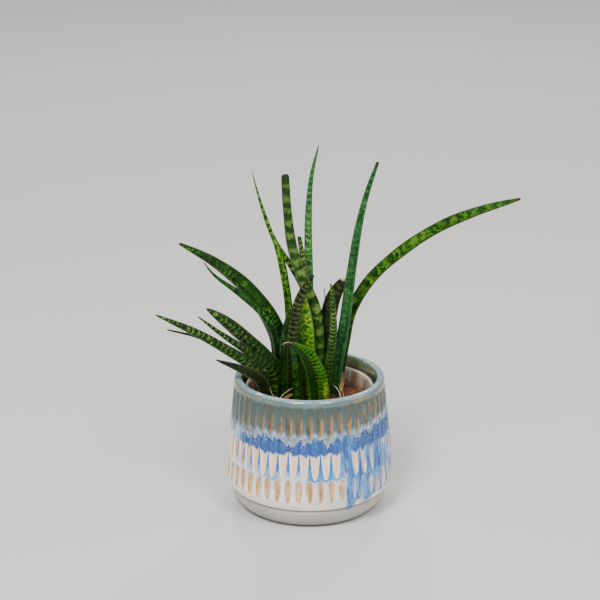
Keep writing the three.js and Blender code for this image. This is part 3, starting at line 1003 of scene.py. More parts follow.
def spin(profile: np.ndarray, around: int) -> tuple[np.ndarray, list[tuple[int, ...]]]:
    """Turns a profile that starts and ends on the axis into a closed solid.

    Args:
        profile: n by 2 radii and heights in metres, its first and last radius 0.
        around: how many steps to turn it in.

    Returns:
        The vertices and faces, with one vertex at each pole.
    """
    angle = turns(around)
    body = profile[1:-1]
    rings = np.stack(
        [
            np.outer(body[:, 0], np.sin(angle)),
            np.outer(body[:, 0], -np.cos(angle)),
            np.repeat(body[:, 1:2], around, axis=1),
        ],
        axis=2,
    ).reshape(-1, 3)
    poles = np.array([[0, 0, profile[0, 1]], [0, 0, profile[-1, 1]]])
    return np.concatenate([rings, poles]), closed_faces(len(body), around)


def sample(line: np.ndarray, walked: np.ndarray, wanted: np.ndarray) -> np.ndarray:
    """Returns line at the places wanted, where walked says how far along each of its rows is."""
    return np.stack([np.interp(wanted, walked, column) for column in line.T], axis=1)


def smooth_run(points: Sequence[Sequence[float]], count: int) -> np.ndarray:
    """Runs a centripetal Catmull-Rom curve through points and spaces it evenly.

    Args:
        points: the points that the curve passes through.
        count: how many points to return.

    Returns:
        count points at equal distances along the curve, with both ends.
    """
    samples, least = 60, 1e-6
    given = np.asarray(points, dtype=float)
    padded = np.vstack([2 * given[0] - given[1], given, 2 * given[-1] - given[-2]])
    dense = []
    for i in range(len(given) - 1):
        p0, p1, p2, p3 = padded[i : i + 4]
        pairs = ((p0, p1), (p1, p2), (p2, p3))
        d0, d1, d2 = [max(np.sum((b - a) ** 2) ** 0.25, least) for a, b in pairs]
        t1 = ((p1 - p0) / d0 - (p2 - p0) / (d0 + d1) + (p2 - p1) / d1) * d1
        t2 = ((p2 - p1) / d1 - (p3 - p1) / (d1 + d2) + (p3 - p2) / d2) * d1
        s = np.linspace(0, 1, samples, endpoint=i == len(given) - 2)[:, None]
        cubic = 2 * p1 - 2 * p2 + t1 + t2
        square = -3 * p1 + 3 * p2 - 2 * t1 - t2
        dense.append(p1 + t1 * s + square * s**2 + cubic * s**3)
    line = np.concatenate(dense)
    walked = np.concatenate([[0], np.cumsum(np.linalg.norm(np.diff(line, axis=0), axis=1))])
    wanted = np.linspace(0, walked[-1], count)
    return sample(line, walked, wanted)


def dress(piece: bpy.types.Object, finish: Finish, *nodes: str) -> bpy.types.Object:
    """Gives a piece its finish, hangs it on the root body and hides the CAD nodes that it stands for.

    Args:
        piece: the finished object at the origin.
        finish: its finish.
        nodes: the CAD nodes that it stands for.

    Returns:
        The same piece.
    """
    piece.data.materials.clear()
    piece.data.materials.append(material_of(finish))
    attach(piece, ROOT)
    if nodes:
        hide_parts(*nodes)
    LOG.info("%s: %d faces", piece.name, len(piece.data.polygons))
    return piece


# ---------------------------------------------------------------- geometry nodes


def live(sockets: Any, name: str = "") -> bpy.types.NodeSocket:
    """Returns the first socket in use, or the first in use of that name."""
    return next(socket for socket in sockets if socket.enabled and name in ("", socket.name))


class GeometryTree(Graph):
    """A geometry node tree with named inputs that is applied to a piece and then removed."""

    def __init__(self, name: str, **inputs: tuple[str, Any]) -> None:
        """Starts the tree.

        Args:
            name: the tree's name.
            inputs: socket type and value of each named input.
        """
        super().__init__(bpy.data.node_groups.new(name, "GeometryNodeTree"))
        face = self.tree.interface
        face.new_socket("Geometry", in_out="INPUT", socket_type="NodeSocketGeometry")
        face.new_socket("Geometry", in_out="OUTPUT", socket_type="NodeSocketGeometry")
        self.values = {}
        for label, (kind, value) in inputs.items():
            made = face.new_socket(label, in_out="INPUT", socket_type=f"NodeSocket{kind}")
            self.values[made.identifier] = value
        self.given = self.node("NodeGroupInput").outputs

    def position(self) -> bpy.types.NodeSocket:
        """Returns the position of each point."""
        return self.node("GeometryNodeInputPosition").outputs[0]

    def named(self, name: str) -> bpy.types.NodeSocket:
        """Returns the float that the mesh stores under name."""
        inputs = {"Name": name}
        return self.node("GeometryNodeInputNamedAttribute", inputs, data_type="FLOAT").outputs[0]

    def random(self, kind: str, low: Any, high: Any, seed: Any) -> bpy.types.NodeSocket:
        """Returns a random value of that data type between low and high for each point."""
        made = self.node("FunctionNodeRandomValue", data_type=kind)
        for name, value in {"Min": low, "Max": high, "Seed": seed}.items():
            self.feed(live(made.inputs, name), value)
        return live(made.outputs)

    def close(self, geometry: bpy.types.NodeSocket, finish: Finish) -> None:
        """Ends the tree in Realize Instances and Set Material."""
        real = self.node("GeometryNodeRealizeInstances", {0: geometry}).outputs[0]
        inputs = {"Geometry": real, "Material": material_of(finish)}
        dressed = self.node("GeometryNodeSetMaterial", inputs).outputs[0]
        self.node("NodeGroupOutput", {0: dressed})

    def apply(self, base: bpy.types.Object, name: str) -> bpy.types.Object:
        """Runs the tree on a piece and keeps the result as a plain mesh.

        Args:
            base: the piece to run it on, which is removed.
            name: the new piece's name.

        Returns:
            The new piece, with no modifier.
        """
        modifier = base.modifiers.new("shape", "NODES")
        modifier.node_group = self.tree
        for identifier, value in self.values.items():
            modifier[identifier] = value
        graph = bpy.context.evaluated_depsgraph_get()
        found = base.evaluated_get(graph)
        mesh = bpy.data.meshes.new_from_object(found, preserve_all_data_layers=True, depsgraph=graph)
        base.modifiers.remove(modifier)
        bpy.data.objects.remove(base)
        mesh.name = name
        return new_object(name, mesh)


@dataclass(frozen=True)
class FluteRow:
    """One row of carved petals: its ends in millimetres, turn in pitches, width share and point."""

    low: float
    high: float
    turn: float
    width: float
    point: float


@dataclass
class CoverPot:
    """The ceramic cover pot: a thrown body with three staggered rows of carved petals.

    The outlines run from the underside up the outside, over the lip and down to the floor, as radii
    and heights. lip_inside is how many of the lip's points look into the pot. The knife and the
    ripple fade out below carved_from and above carved_to.
    """

    flutes: int = FLUTES
    carve_depth: float = 0.9
    carved_from: float = 12.5
    carved_to: float = 75.0
    ripple: float = 0.35
    lip_inside: int = 6
    around: int = 672
    underside: Outline = ((12, 0), (24, 0), (32, 0), (36.3, 0))
    foot: Outline = ((36.8, 0), (37.9, 0.5), (41.2, 2.9), (44.2, 7.4), (45.2, 10.9), (45.0, 11.8))
    groove: Outline = ((44.4, 12.3),)
    shoulder: Outline = ((45.1, 12.7), (46.2, 13.4), (47.7, 16.1), (48.5, 18.8), (48.7, 21))
    wall: Outline = ((48.7, 21), (47.7, 30), (46.1, 46), (44.3, 63), (43.3, 74.4))
    lip: Outline = (
        (43.3, 74.9), (43.0, 76.4), (42.2, 77.5), (41, 78),
        (39.7, 77.9), (38.7, 77.0), (38.3, 75.4), (38.2, 73.2),
    )
    inner: Outline = ((38.3, 72), (39.8, 64), (43.3, 40), (43.6, 24), (42.8, 17), (39, 9.6), (35, 7.3))
    floor: Outline = ((24, 7), (12, 7), (0, 7))
    rows: tuple[FluteRow, ...] = (
        FluteRow(54.5, 73.5, 0.5, 1.06, 0.3),
        FluteRow(33.0, 56.5, 0.0, 1.1, 0.34),
        FluteRow(18.4, 31.6, 0.5, 1.04, 0.34),
    )

    def profile(self) -> tuple[np.ndarray, np.ndarray]:
        """Builds the turned outline.

        Returns:
            Radii and heights in metres from the lower to the upper pole, and 1 for each point that
            lies inside the pot.
        """
        outside = [
            np.array(((0, 0), *self.underside)),
            smooth_run(self.foot, 13),
            np.array(self.groove),
            smooth_run(self.shoulder, 12)[:-1],
            smooth_run(self.wall, 62),
            smooth_run(self.lip, 16),
        ]
        inside = [smooth_run(self.inner, 14), np.array(self.floor)]
        points = np.concatenate(outside + inside) * MM
        count = sum(len(part) for part in inside)
        mask = np.zeros(len(points))
        mask[-count - self.lip_inside :] = 1
        return points, mask

    def carve(self, body: bpy.types.Object) -> bpy.types.Object:
        """Cuts the rows of petals into the wall with geometry nodes.

        Args:
            body: the turned body, with the attribute inside.

        Returns:
            The carved pot, with the attribute carve from 0 on a rib to 1 in the middle of a petal.
        """
        tree = GeometryTree(
            "carved_petals", Flutes=("Float", float(self.flutes)), Depth=("Float", self.carve_depth * MM),
            Softness=("Float", 0.85),
        )
        position = tree.position()
        x, y, z_m = tree.split(position)
        z = tree.math("DIVIDE", z_m, MM)
        turn = tree.math("DIVIDE", tree.math("ARCTAN2", x, tree.times(y, -1.0)), 2 * math.pi)
        whole_pitches = 64.0
        carve: Any = 0.0
        for row in self.rows:
            pitches = tree.times(turn, tree.given["Flutes"])
            part = tree.math("FRACT", tree.add(pitches, whole_pitches + row.turn))
            off = tree.math("ABSOLUTE", tree.less(part, 0.5))
            rise = tree.math("DIVIDE", tree.less(z, row.low), row.high - row.low, clamp=True)
            crown = tree.math("SQRT", tree.invert(tree.math("POWER", rise, 7.0)), clamp=True)
            half = tree.add(tree.times(tree.math("POWER", rise, row.point), crown, row.width * 0.5), 1e-4)
            square = tree.math("POWER", tree.math("DIVIDE", off, half), 2.0)
            bowl = tree.math("SUBTRACT", 1.0, square, clamp=True)
            gate = tree.band(z, row.low, row.high, 0.02)
            carve = tree.most(carve, tree.times(bowl, gate))
        outer = tree.invert(tree.named("inside"))
        carve = tree.times(carve, outer)
        depth = tree.times(tree.math("POWER", carve, tree.given["Softness"]), tree.given["Depth"])
        ripple = tree.times(tree.less(tree.noise(position, 90.0, 2.0), 0.5), self.ripple * MM, outer)
        outward = tree.unit(tree.join(x, y, 0.0))
        shift = tree.scale(outward, tree.add(tree.times(depth, -1.0), ripple))
        move = tree.scale(shift, tree.band(z, self.carved_from, self.carved_to, 1.5))
        inputs = {"Geometry": tree.given["Geometry"], "Offset": move}
        moved = tree.node("GeometryNodeSetPosition", inputs).outputs[0]
        inputs = {"Geometry": moved, "Name": "carve"}
        kept = tree.node("GeometryNodeStoreNamedAttribute", inputs, data_type="FLOAT")
        tree.feed(live(kept.inputs, "Value"), carve)
        tree.close(kept.outputs[0], GLAZE)
        return tree.apply(body, "cover_pot_glazed")

    def build(self) -> None:
        """Makes and dresses the pot."""
        points, inside = self.profile()
        vertices, faces = spin(points, self.around)
        body = mesh_object("thrown_body", vertices, faces)
        store(body, "inside", np.concatenate([np.repeat(inside[1:-1], self.around), inside[[0, -1]]]))
        dress(self.carve(body), GLAZE, "cover_pot")


@dataclass
class NurseryPot:
    """The thin nursery pot, with a rolled rim and drain holes."""

    around: int = 160
    low: float = 7.3
    top: float = 71.5
    base_radius: float = 26.0
    top_radius: float = 35.2
    rim_radius: float = 36.8
    rim_height: float = 2.2
    wall_thickness: float = 0.9
    drain_holes: int = 5
    drain_radius: float = 3.0
    drain_circle: float = 16.0
    punch_sides: int = 24
    punch_length: float = 6.0

    def profile(self) -> np.ndarray:
        """Returns the outline in metres, up the outside and down the inside."""
        under = self.top - self.rim_height
        inner = self.top_radius - self.wall_thickness
        base = self.base_radius - self.wall_thickness
        edge, floor = self.rim_radius, self.low + self.wall_thickness
        under_and_wall = [
            (0, self.low), (8, self.low), (self.base_radius - 1.5, self.low),
            (self.base_radius - 0.4, self.low + 0.4), (self.base_radius, self.low + 1.5),
            (self.top_radius, under),
        ]
        rim = [
            (edge - 0.2, under + 0.2), (edge, under + 0.6), (edge, self.top - 0.6),
            (edge - 0.25, self.top - 0.15), (edge - 0.8, self.top), (edge - 1.1, self.top - 0.1),
            (edge - 1.4, self.top - 0.5), (inner + 0.3, self.top - 1.6),
        ]
        inside = [
            (inner, under - 0.5), (base, self.low + 2.4), (base - 0.5, self.low + 1.3),
            (base - 1.6, floor), (0, floor),
        ]
        return np.array(under_and_wall + rim + inside) * MM

    def pierce(self, body: bpy.types.Object) -> bpy.types.Object:
        """Punches the drain holes through the floor with geometry nodes and returns the pot."""
        tree = GeometryTree(
            "drain_holes", Holes=("Int", self.drain_holes), Radius=("Float", self.drain_radius * MM),
            Circle=("Float", self.drain_circle * MM),
        )
        inputs = {"Vertices": tree.given["Holes"], "Radius": tree.given["Circle"]}
        ring = tree.node("GeometryNodeMeshCircle", inputs).outputs[0]
        inputs = {
            "Vertices": self.punch_sides, "Radius": tree.given["Radius"], "Depth": self.punch_length * MM,
        }
        punch = tree.node("GeometryNodeMeshCylinder", inputs).outputs[0]
        inputs = {"Geometry": ring, "Translation": (0, 0, self.low * MM)}
        lift = tree.node("GeometryNodeTransform", inputs).outputs[0]
        punches = tree.node("GeometryNodeInstanceOnPoints", {"Points": lift, "Instance": punch}).outputs[0]
        cutters = tree.node("GeometryNodeRealizeInstances", {0: punches}).outputs[0]
        cut = tree.node("GeometryNodeMeshBoolean", operation="DIFFERENCE")
        tree.feed(cut.inputs[0], tree.given["Geometry"])
        tree.feed(cut.inputs[1], cutters)
        tree.close(cut.outputs[0], PLASTIC)
        return tree.apply(body, "nursery_pot_shell")

    def build(self) -> None:
        """Makes and dresses the pot."""
        body = mesh_object("moulded_shell", *spin(self.profile(), self.around))
        dress(self.pierce(body), PLASTIC, "nursery_pot")


@dataclass
class GrowingMedium:
    """The coir that fills the nursery pot: a lumpy surface with loose fibres on it.

    settled is how far the mean surface lies below top. lumps holds the length and height of each
    size of lump, and lumps_each how many waves make one.
    hub and crowding space the surface's rings, edge_ease flattens it towards the wall, and the
    bare_rings nearest the wall carry no fibre. density is fibres in a square metre, and smallest
    and shortest are the least shares of fibre_length.
    """

    top: float = 62.0
    settled: float = 0.3
    low: float = 8.9
    top_radius: float = 33.0
    base_radius: float = 24.0
    rings: int = 66
    around: int = 220
    lump: float = 0.85
    lumps: Outline = ((16.0, 0.9), (7.0, 0.6), (3.2, 0.42), (1.6, 0.26))
    lumps_each: int = 6
    hub: float = 0.02
    crowding: float = 0.8
    edge_ease: float = 12.0
    bare_rings: int = 3
    density: float = 420000.0
    fibre_length: float = 7.0
    fibre_radius: float = 0.09
    smallest: float = 0.18
    shortest: float = 0.03
    seed: int = 11

    def heights(self, x: np.ndarray, y: np.ndarray) -> np.ndarray:
        """Returns the surface's height above its mean at each point, all in millimetres."""
        rng = np.random.default_rng(self.seed)
        together, softened = 2.2, 0.7
        total = np.zeros_like(x)
        for wave_length, size in self.lumps:
            for _ in range(self.lumps_each):
                heading, phase = rng.uniform(0, 2 * np.pi, 2)
                swing = 2 * np.pi / (wave_length * rng.uniform(0.7, 1.3))
                ahead = x * np.cos(heading) + y * np.sin(heading)
                total += size / together * np.sin(swing * ahead + phase)
        return total * self.lump * softened

    def bed(self) -> bpy.types.Object:
        """Makes the closed block of coir, with the attribute crust on its upper surface."""
        share = np.linspace(1, self.hub, self.rings) ** self.crowding
        angle = turns(self.around)
        radius = np.outer(share * self.top_radius, np.ones(self.around))
        x, y = radius * np.sin(angle), -radius * np.cos(angle)
        ease = np.clip((1 - share) * self.edge_ease, 0, 1)[:, None]
        z = self.top - self.settled + self.heights(x, y) * ease
        surface = np.stack([x, y, z], axis=2).reshape(-1, 3)
        low = [
            (self.base_radius * 0.9, self.low), (self.base_radius, self.low + 1.2),
            (self.top_radius - 0.4, self.top - 2.5),
        ]
        level = np.ones(self.around)
        sides = np.concatenate(
            [np.stack([r * np.sin(angle), -r * np.cos(angle), h * level], axis=1) for r, h in low]
        )
        poles = np.array([[0, 0, self.low], [0, 0, z[-1].mean()]])
        vertices = np.concatenate([sides, surface, poles]) * MM
        bed = mesh_object("coir_bed", vertices, closed_faces(len(low) + self.rings, self.around))
        crust = np.zeros(len(vertices))
        crust[len(sides) + self.around * self.bare_rings : -len(poles)] = 1
        store(bed, "crust", crust)
        return bed

    def litter(self, bed: bpy.types.Object) -> bpy.types.Object:
        """Scatters curved fibres over the crust with geometry nodes.

        Args:
            bed: the coir block.

        Returns:
            The fibres as one piece.
        """
        source = new_object("crust_copy", bed.data.copy())
        tree = GeometryTree(
            "coir_fibres", Density=("Float", self.density), Length=("Float", self.fibre_length * MM),
            Thickness=("Float", self.fibre_radius * MM), Seed=("Int", self.seed),
            Wall=("Float", self.top_radius * MM),
        )
        seed = tree.given["Seed"]
        amount = tree.times(tree.given["Density"], tree.named("crust"))
        inputs = {"Mesh": tree.given["Geometry"], "Density": amount, "Seed": seed}
        points = tree.node("GeometryNodeDistributePointsOnFaces", inputs).outputs["Points"]
        length = tree.given["Length"]
        hairs = tree.node("GeometryNodeGeometryToInstance")
        for bend, lift in ((0.35, 0.1), (-0.25, 0.2), (0.1, 0.05), (0.5, 0.28)):
            middle = tree.join(*[tree.times(length, part) for part in (0.45, bend, lift)])
            end = tree.join(length, tree.times(length, bend * 0.3), 0.0)
            inputs = {"Resolution": 5, "Start": (0, 0, 0), "Middle": middle, "End": end}
            path = tree.node("GeometryNodeCurveQuadraticBezier", inputs).outputs[0]
            inputs = {"Resolution": 3, "Radius": tree.given["Thickness"]}
            section = tree.node("GeometryNodeCurvePrimitiveCircle", inputs).outputs[0]
            inputs = {"Curve": path, "Profile Curve": section, "Fill Caps": True}
            tree.feed(hairs.inputs[0], tree.node("GeometryNodeCurveToMesh", inputs).outputs[0])
        turn = tree.random("FLOAT_VECTOR", (-0.35, -0.3, 0.0), (0.35, 0.3, 2 * math.pi), seed)
        size = tree.random("FLOAT", self.smallest, 1.0, seed)
        x, y, _ = tree.split(tree.position())
        radius = tree.math("POWER", tree.add(tree.times(x, x), tree.times(y, y)), 0.5)
        room = tree.less(tree.given["Wall"], radius)
        limit = tree.most(tree.math("DIVIDE", room, tree.times(length, 1.1)), self.shortest)
        inputs = {
            "Points": points, "Instance": hairs.outputs[0], "Pick Instance": True, "Rotation": turn,
            "Scale": tree.math("MINIMUM", size, limit),
        }
        tree.close(tree.node("GeometryNodeInstanceOnPoints", inputs).outputs[0], COIR_FIBRE)
        return tree.apply(source, "coir_fibres")

    def build(self) -> None:
        """Makes and dresses the coir and its fibres."""
        bed = self.bed()
        dress(self.litter(bed), COIR_FIBRE)
        dress(bed, COIR, "soil")


# ---------------------------------------------------------------- leaves


@dataclass
class Blade:
    """A tapering channelled blade along a route, close to the frame's solid of the same name.

    route holds the points that the midline passes through in millimetres, the first with no height
    where the blade starts at the crown. face is the way that the channel looks. width and depth are
    the largest measures and channel the share of the depth that its middle sinks. tip is the share of
    the width left at the rounded end, a high thin keeps the blade broad until near it, and foot is
    the share of the width at the crown. The midline is measured at steps points. The width wanders
    by the share wander, over wander_length, and tolerance is how far the blade's box may be from the
    solid's before the log says so.
    """

    node: str
    route: tuple[tuple[float, ...], ...]
    face: Point
    width: float
    depth: float
    channel: float
    tip: float
    thin: float
    finish: Finish
    foot: float = 0.85
    swell: float = 0.45
    rings: int = 120
    tip_rings: int = 14
    back: int = 26
    front: int = 14
    crown_height: float = 55.0
    edge_height: float = 0.4
    lip_height: float = 0.52
    lip_across: float = 0.6
    ridges: int = 7
    ridge_depth: float = 0.03
    steps: int = 400
    wander: float = 0.025
    wander_length: float = 5.3
    tolerance: float = 1.5

    def section(self) -> tuple[np.ndarray, np.ndarray, np.ndarray]:
        """Builds the section's outline.

        Returns:
            Points as shares of half the width and of the depth, how far across each lies from -1 to 1,
            and 1 for each point on the channel side.
        """
        angle = np.linspace(0, np.pi, self.back, endpoint=False)
        rib = 1 - self.ridge_depth * (1 - np.cos(2 * self.ridges * angle)) * np.sin(angle)
        back = np.stack([np.cos(angle), self.edge_height - np.sin(angle) * rib], axis=1)
        across = -np.cos(np.linspace(0, np.pi, self.front, endpoint=False))
        far = np.clip((np.abs(across) - self.lip_across) / (1 - self.lip_across), 0, 1)
        near = np.clip(np.abs(across) / self.lip_across, 0, 1)
        lip = (self.lip_height - self.edge_height) * (1 - far**2)
        sunk = self.channel * np.cos(near * np.pi / 2) ** 2
        front = np.stack([across, self.edge_height + lip - sunk], axis=1)
        points = np.concatenate([back, front])
        return points, points[:, 0], np.concatenate([np.zeros(self.back), np.ones(self.front)])

    def spacing(self, end: float) -> np.ndarray:
        """Returns where the rings lie as shares of the length, closest round the last share, end."""
        body = np.linspace(0, 1 - end, self.rings - self.tip_rings, endpoint=False)
        turn = np.linspace(0, np.pi / 2, self.tip_rings)
        return np.concatenate([body, 1 - end * (1 - np.sin(turn))])

    def taper(self, share: np.ndarray, end: float) -> np.ndarray:
        """Returns the blade's size at shares of its length, as a share of the largest."""
        grown = self.foot + (1 - self.foot) * np.sin(np.pi / 2 * np.minimum(1, share / self.swell))
        past = np.clip((share - 1 + end) / end, 0, 1)
        return grown * (1 - (1 - self.tip) * share**self.thin) * np.sqrt(1 - past**2)

    def mesh(self) -> bpy.types.Object:
        """Makes the blade's mesh with the attributes that its finish reads."""
        route = [point if len(point) == 3 else (*point, self.crown_height) for point in self.route]
        line = smooth_run(route, self.steps)
        length = np.linalg.norm(np.diff(line, axis=0), axis=1).sum()
        end = self.tip * self.width / 2 / length
        share = self.spacing(end)
        walked = np.linspace(0, 1, self.steps)
        centre = sample(line, walked, share)
        tangent = unit_rows(sample(np.gradient(line, axis=0), walked, share))
        looks = np.asarray(self.face, dtype=float)
        normal = unit_rows(looks - tangent * (tangent @ looks)[:, None])
        across = np.cross(tangent, normal)
        points, side, channel = self.section()
        size = self.taper(share, end)[:-1, None, None]
        sway = 1 + self.wander * np.sin(share[:-1] * length / self.wander_length + self.width)
        rings = (
            centre[:-1, None, :]
            + across[:-1, None, :] * points[None, :, :1] * size * sway[:, None, None] * self.width / 2
            + normal[:-1, None, :] * points[None, :, 1:] * size * self.depth
        )
        count = len(points)
        ends = np.stack([centre[0], centre[-1]])
        vertices = np.concatenate([rings.reshape(-1, 3), ends]) * MM
        blade = mesh_object(f"{self.node}_blade", vertices, closed_faces(self.rings - 1, count))
        along = np.concatenate([np.repeat(share[:-1], count), [0, 1]])
        store(blade, "share", along)
        store(blade, "along", along * length)
        store(blade, "across", np.concatenate([np.tile(side, self.rings - 1), [0, 0]]))
        store(blade, "channel_side", np.concatenate([np.tile(channel, self.rings - 1), [0, 0]]))
        return blade

    def build(self) -> None:
        """Makes, checks and dresses the blade."""
        blade = self.mesh()
        low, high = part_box(self.node)
        corners = np.array([vertex.co for vertex in blade.data.vertices])
        apart = max(np.abs(corners.min(axis=0) - low).max(), np.abs(corners.max(axis=0) - high).max())
        if apart > self.tolerance * MM:
            LOG.warning("%s is %.2f mm off the frame's solid", self.node, apart / MM)
        dress(blade, self.finish, self.node)


# The leaves: the front and centre of the clump, its back, its right side and its left side.
LEAVES = (
    Blade(
        "leaf_front_broad",
        (
            (6.5, -8), (5, -8.5, 74), (3, -9.5, 84), (-0.5, -10.5, 92.5), (-5, -12, 98),
            (-9.5, -13.5, 102),
        ),
        face=(0.1, -1, 0.15), width=12, depth=4, channel=0.5, tip=0.1, thin=4, finish=BRIGHT, foot=0.5,
    ),
    Blade(
        "leaf_front_upright", ((-6.5, -10), (-8, -10, 83), (-9, -10, 100)),
        face=(0.3, 1, 0), width=6.4, depth=4, channel=0.2, tip=0.7, thin=6, finish=DARK,
    ),
    Blade(
        "leaf_front_oval", ((-13, 1), (-14, 1, 83), (-14, 1, 101.5), (-11, 2, 117)),
        face=(0.2, 1, 0), width=6, depth=3.4, channel=0.3, tip=0.3, thin=4, finish=DARK,
    ),
    Blade(
        "leaf_front_chevron",
        (
            (-9.5, -4), (-10, -4, 85), (-9.5, -4, 103.5), (-7.5, -4.5, 119), (-3.5, -5, 130.5),
            (2.5, -5, 139.5),
        ),
        face=(0.2, -1, 0.2), width=6.4, depth=3.2, channel=0.45, tip=0.15, thin=8, finish=OLIVE_BANDED,
    ),
    Blade(
        "leaf_centre_bright", ((-2, 1), (-1.5, 1, 92.5), (-2.5, 1, 110.5), (-4.5, 0.5, 131)),
        face=(-0.1, -1, 0), width=10.4, depth=3.4, channel=0.5, tip=0.12, thin=5, finish=SUNLIT,
    ),
    Blade(
        "leaf_centre_banded",
        (
            (5.5, 7), (6, 7, 90), (4, 7, 114), (-2.5, 6, 131), (-9, 5, 150.5), (-12, 4, 172),
            (-13.5, 3, 196),
        ),
        face=(-0.3, 1, 0), width=7.2, depth=4.8, channel=0.15, tip=0.62, thin=1.6, finish=BANDED,
    ),
    Blade(
        "leaf_small_blunt", ((-1, 13), (-0.5, 12.5, 115.5), (-3, 11.5, 137), (-6, 10, 157.5)),
        face=(0.2, 1, 0), width=4.3, depth=3.2, channel=0.2, tip=0.55, thin=3, finish=YELLOWED,
    ),
    Blade(
        "leaf_tall_needle",
        (
            (0.5, 19), (0, 19, 110), (-0.5, 18, 144), (-0.5, 17, 168), (1, 16, 190.5), (5, 14, 209.5),
        ),
        face=(-0.1, -1, 0), width=5.6, depth=3, channel=0.5, tip=0.12, thin=3.5, finish=NEEDLE,
    ),
    Blade(
        "leaf_back_needle",
        (
            (5.5, 23), (-1.5, 23, 115), (-10.5, 22, 135.5), (-19.5, 21, 150.5), (-26.5, 18, 170.5),
            (-32.5, 14, 194.5),
        ),
        face=(0.3, -1, 0.2), width=4, depth=2.6, channel=0.45, tip=0.08, thin=3, finish=FINE_BANDED,
    ),
    Blade(
        "leaf_back_bright",
        (
            (-11, 22.5), (-12, 21, 109.5), (-15, 18, 134), (-18, 17, 147), (-21.5, 16, 156.5),
        ),
        face=(0.2, -1, 0.1), width=4.6, depth=2.6, channel=0.4, tip=0.3, thin=10, finish=FRESH,
    ),
    Blade(
        "leaf_right_dark",
        (
            (10.5, 12.5), (11, 12.5, 78.5), (10.5, 12.5, 100.5), (13.5, 12.5, 118.5), (20, 11.5, 132),
        ),
        face=(-0.15, 1, 0.1), width=9.4, depth=3.6, channel=0.35, tip=0.35, thin=12, finish=BROWNED,
    ),
    Blade(
        "leaf_right_chevron",
        (
            (8.5, 2), (11.5, 2, 84.5), (13.5, 2, 101), (13.5, 1.5, 117.5), (12, 1, 132.5),
        ),
        face=(-0.2, -1, 0), width=5.4, depth=3.2, channel=0.4, tip=0.15, thin=4, finish=CHEVRON,
        foot=0.7,
    ),
    Blade(
        "leaf_right_spike", ((10, 19), (10, 19, 104), (8.5, 18, 124)),
        face=(0, -1, 0), width=2, depth=1.4, channel=0.1, tip=0.2, thin=2, finish=FINE_BANDED,
    ),
    Blade(
        "leaf_right_upright",
        (
            (14, 8), (17, 8, 83.5), (20.5, 8, 107.5), (24, 8, 137), (28, 7.5, 165), (32.5, 6.5, 185),
            (38, 5, 202.5),
        ),
        face=(-0.3, -1, 0.1), width=7, depth=3.8, channel=0.55, tip=0.25, thin=2.2, finish=BLUE_GREEN,
    ),
    Blade(
        "leaf_right_long",
        (
            (16, 17.5), (20.5, 17.5, 89), (24.5, 17, 109.5), (34.5, 15, 129), (51.5, 12, 147),
            (73.5, 8, 163.5), (94.5, 4, 174), (117.5, 0, 182.5),
        ),
        face=(-0.25, -0.8, 0.55), width=6.5, depth=4.2, channel=0.35, tip=0.2, thin=9, finish=BLOTCHED,
    ),
    Blade(
        "leaf_left_arch",
        (
            (-15, 16.5), (-16.5, 16.5, 77), (-18.5, 16.5, 94), (-25.5, 15.5, 110.5), (-38, 14, 127),
            (-55, 12.5, 141.5), (-74, 11, 153),
        ),
        face=(0.2, 0.95, 0.3), width=11.2, depth=4, channel=0.4, tip=0.15, thin=4, finish=DARK,
        foot=0.8,
    ),
    Blade(
        "leaf_left_under",
        (
            (-16, 10.5), (-17.5, 10.5, 77.5), (-20, 10.5, 98.5), (-27, 9.5, 111), (-40.5, 8.5, 124),
            (-54, 7.5, 135), (-60, 7, 143),
        ),
        face=(0.35, -0.8, 0.5), width=5.4, depth=2.8, channel=0.4, tip=0.08, thin=3,
        finish=DEEP_BLUE_GREEN,
    ),
    Blade(
        "leaf_left_chevron",
        (
            (-17.5, 5.5), (-19, 5.5, 76.5), (-26, 5, 87), (-38.5, 4, 99.5), (-48, 3, 108.5),
            (-58.5, 2, 117),
        ),
        face=(0.2, 0.95, 0.3), width=9.2, depth=3.8, channel=0.35, tip=0.15, thin=8, finish=SPOTTED,
    ),
    Blade(
        "leaf_left_slender",
        (
            (-20.5, 0), (-22, 0, 80), (-29.5, -0.5, 87.5), (-41.5, -1.5, 96.5), (-52.5, -2.5, 105),
            (-63, -3.5, 114),
        ),
        face=(0.25, -0.8, 0.55), width=6, depth=3, channel=0.3, tip=0.12, thin=2.4, finish=SPOTTED,
    ),
    Blade(
        "leaf_left_long",
        (
            (-24, -5), (-26.5, -5, 76.5), (-34, -5.5, 85.5), (-48, -6.5, 95.5), (-64.5, -8, 106),
            (-86.5, -9, 117),
        ),
        face=(0.25, -0.8, 0.55), width=6.2, depth=3.8, channel=0.35, tip=0.15, thin=4, finish=SPOTTED,
    ),
    Blade(
        "leaf_left_thin",
        (
            (-24.5, 10.5), (-31.5, 6, 78.5), (-46.5, 2.5, 90.5), (-62.5, 0, 100), (-81, -1.5, 105.5),
        ),
        face=(0.25, -0.8, 0.55), width=2.9, depth=1.8, channel=0.2, tip=0.3, thin=2.5, finish=DARK,
    ),
    Blade(
        "leaf_left_low", ((-22.5, -9.5), (-28, -10, 77.5), (-37, -10.5, 84), (-53, -11.5, 91)),
        face=(0.3, -0.85, 0.5), width=7.6, depth=2.6, channel=0.6, tip=0.1, thin=2.5, finish=OLIVE,
    ),
    Blade(
        "leaf_left_spike", ((-21, 8.8), (-20.5, 8.8, 80), (-22.5, 8.8, 96.5)),
        face=(0, -1, 0), width=1.5, depth=1.1, channel=0.1, tip=0.2, thin=2, finish=DARK,
    ),
)
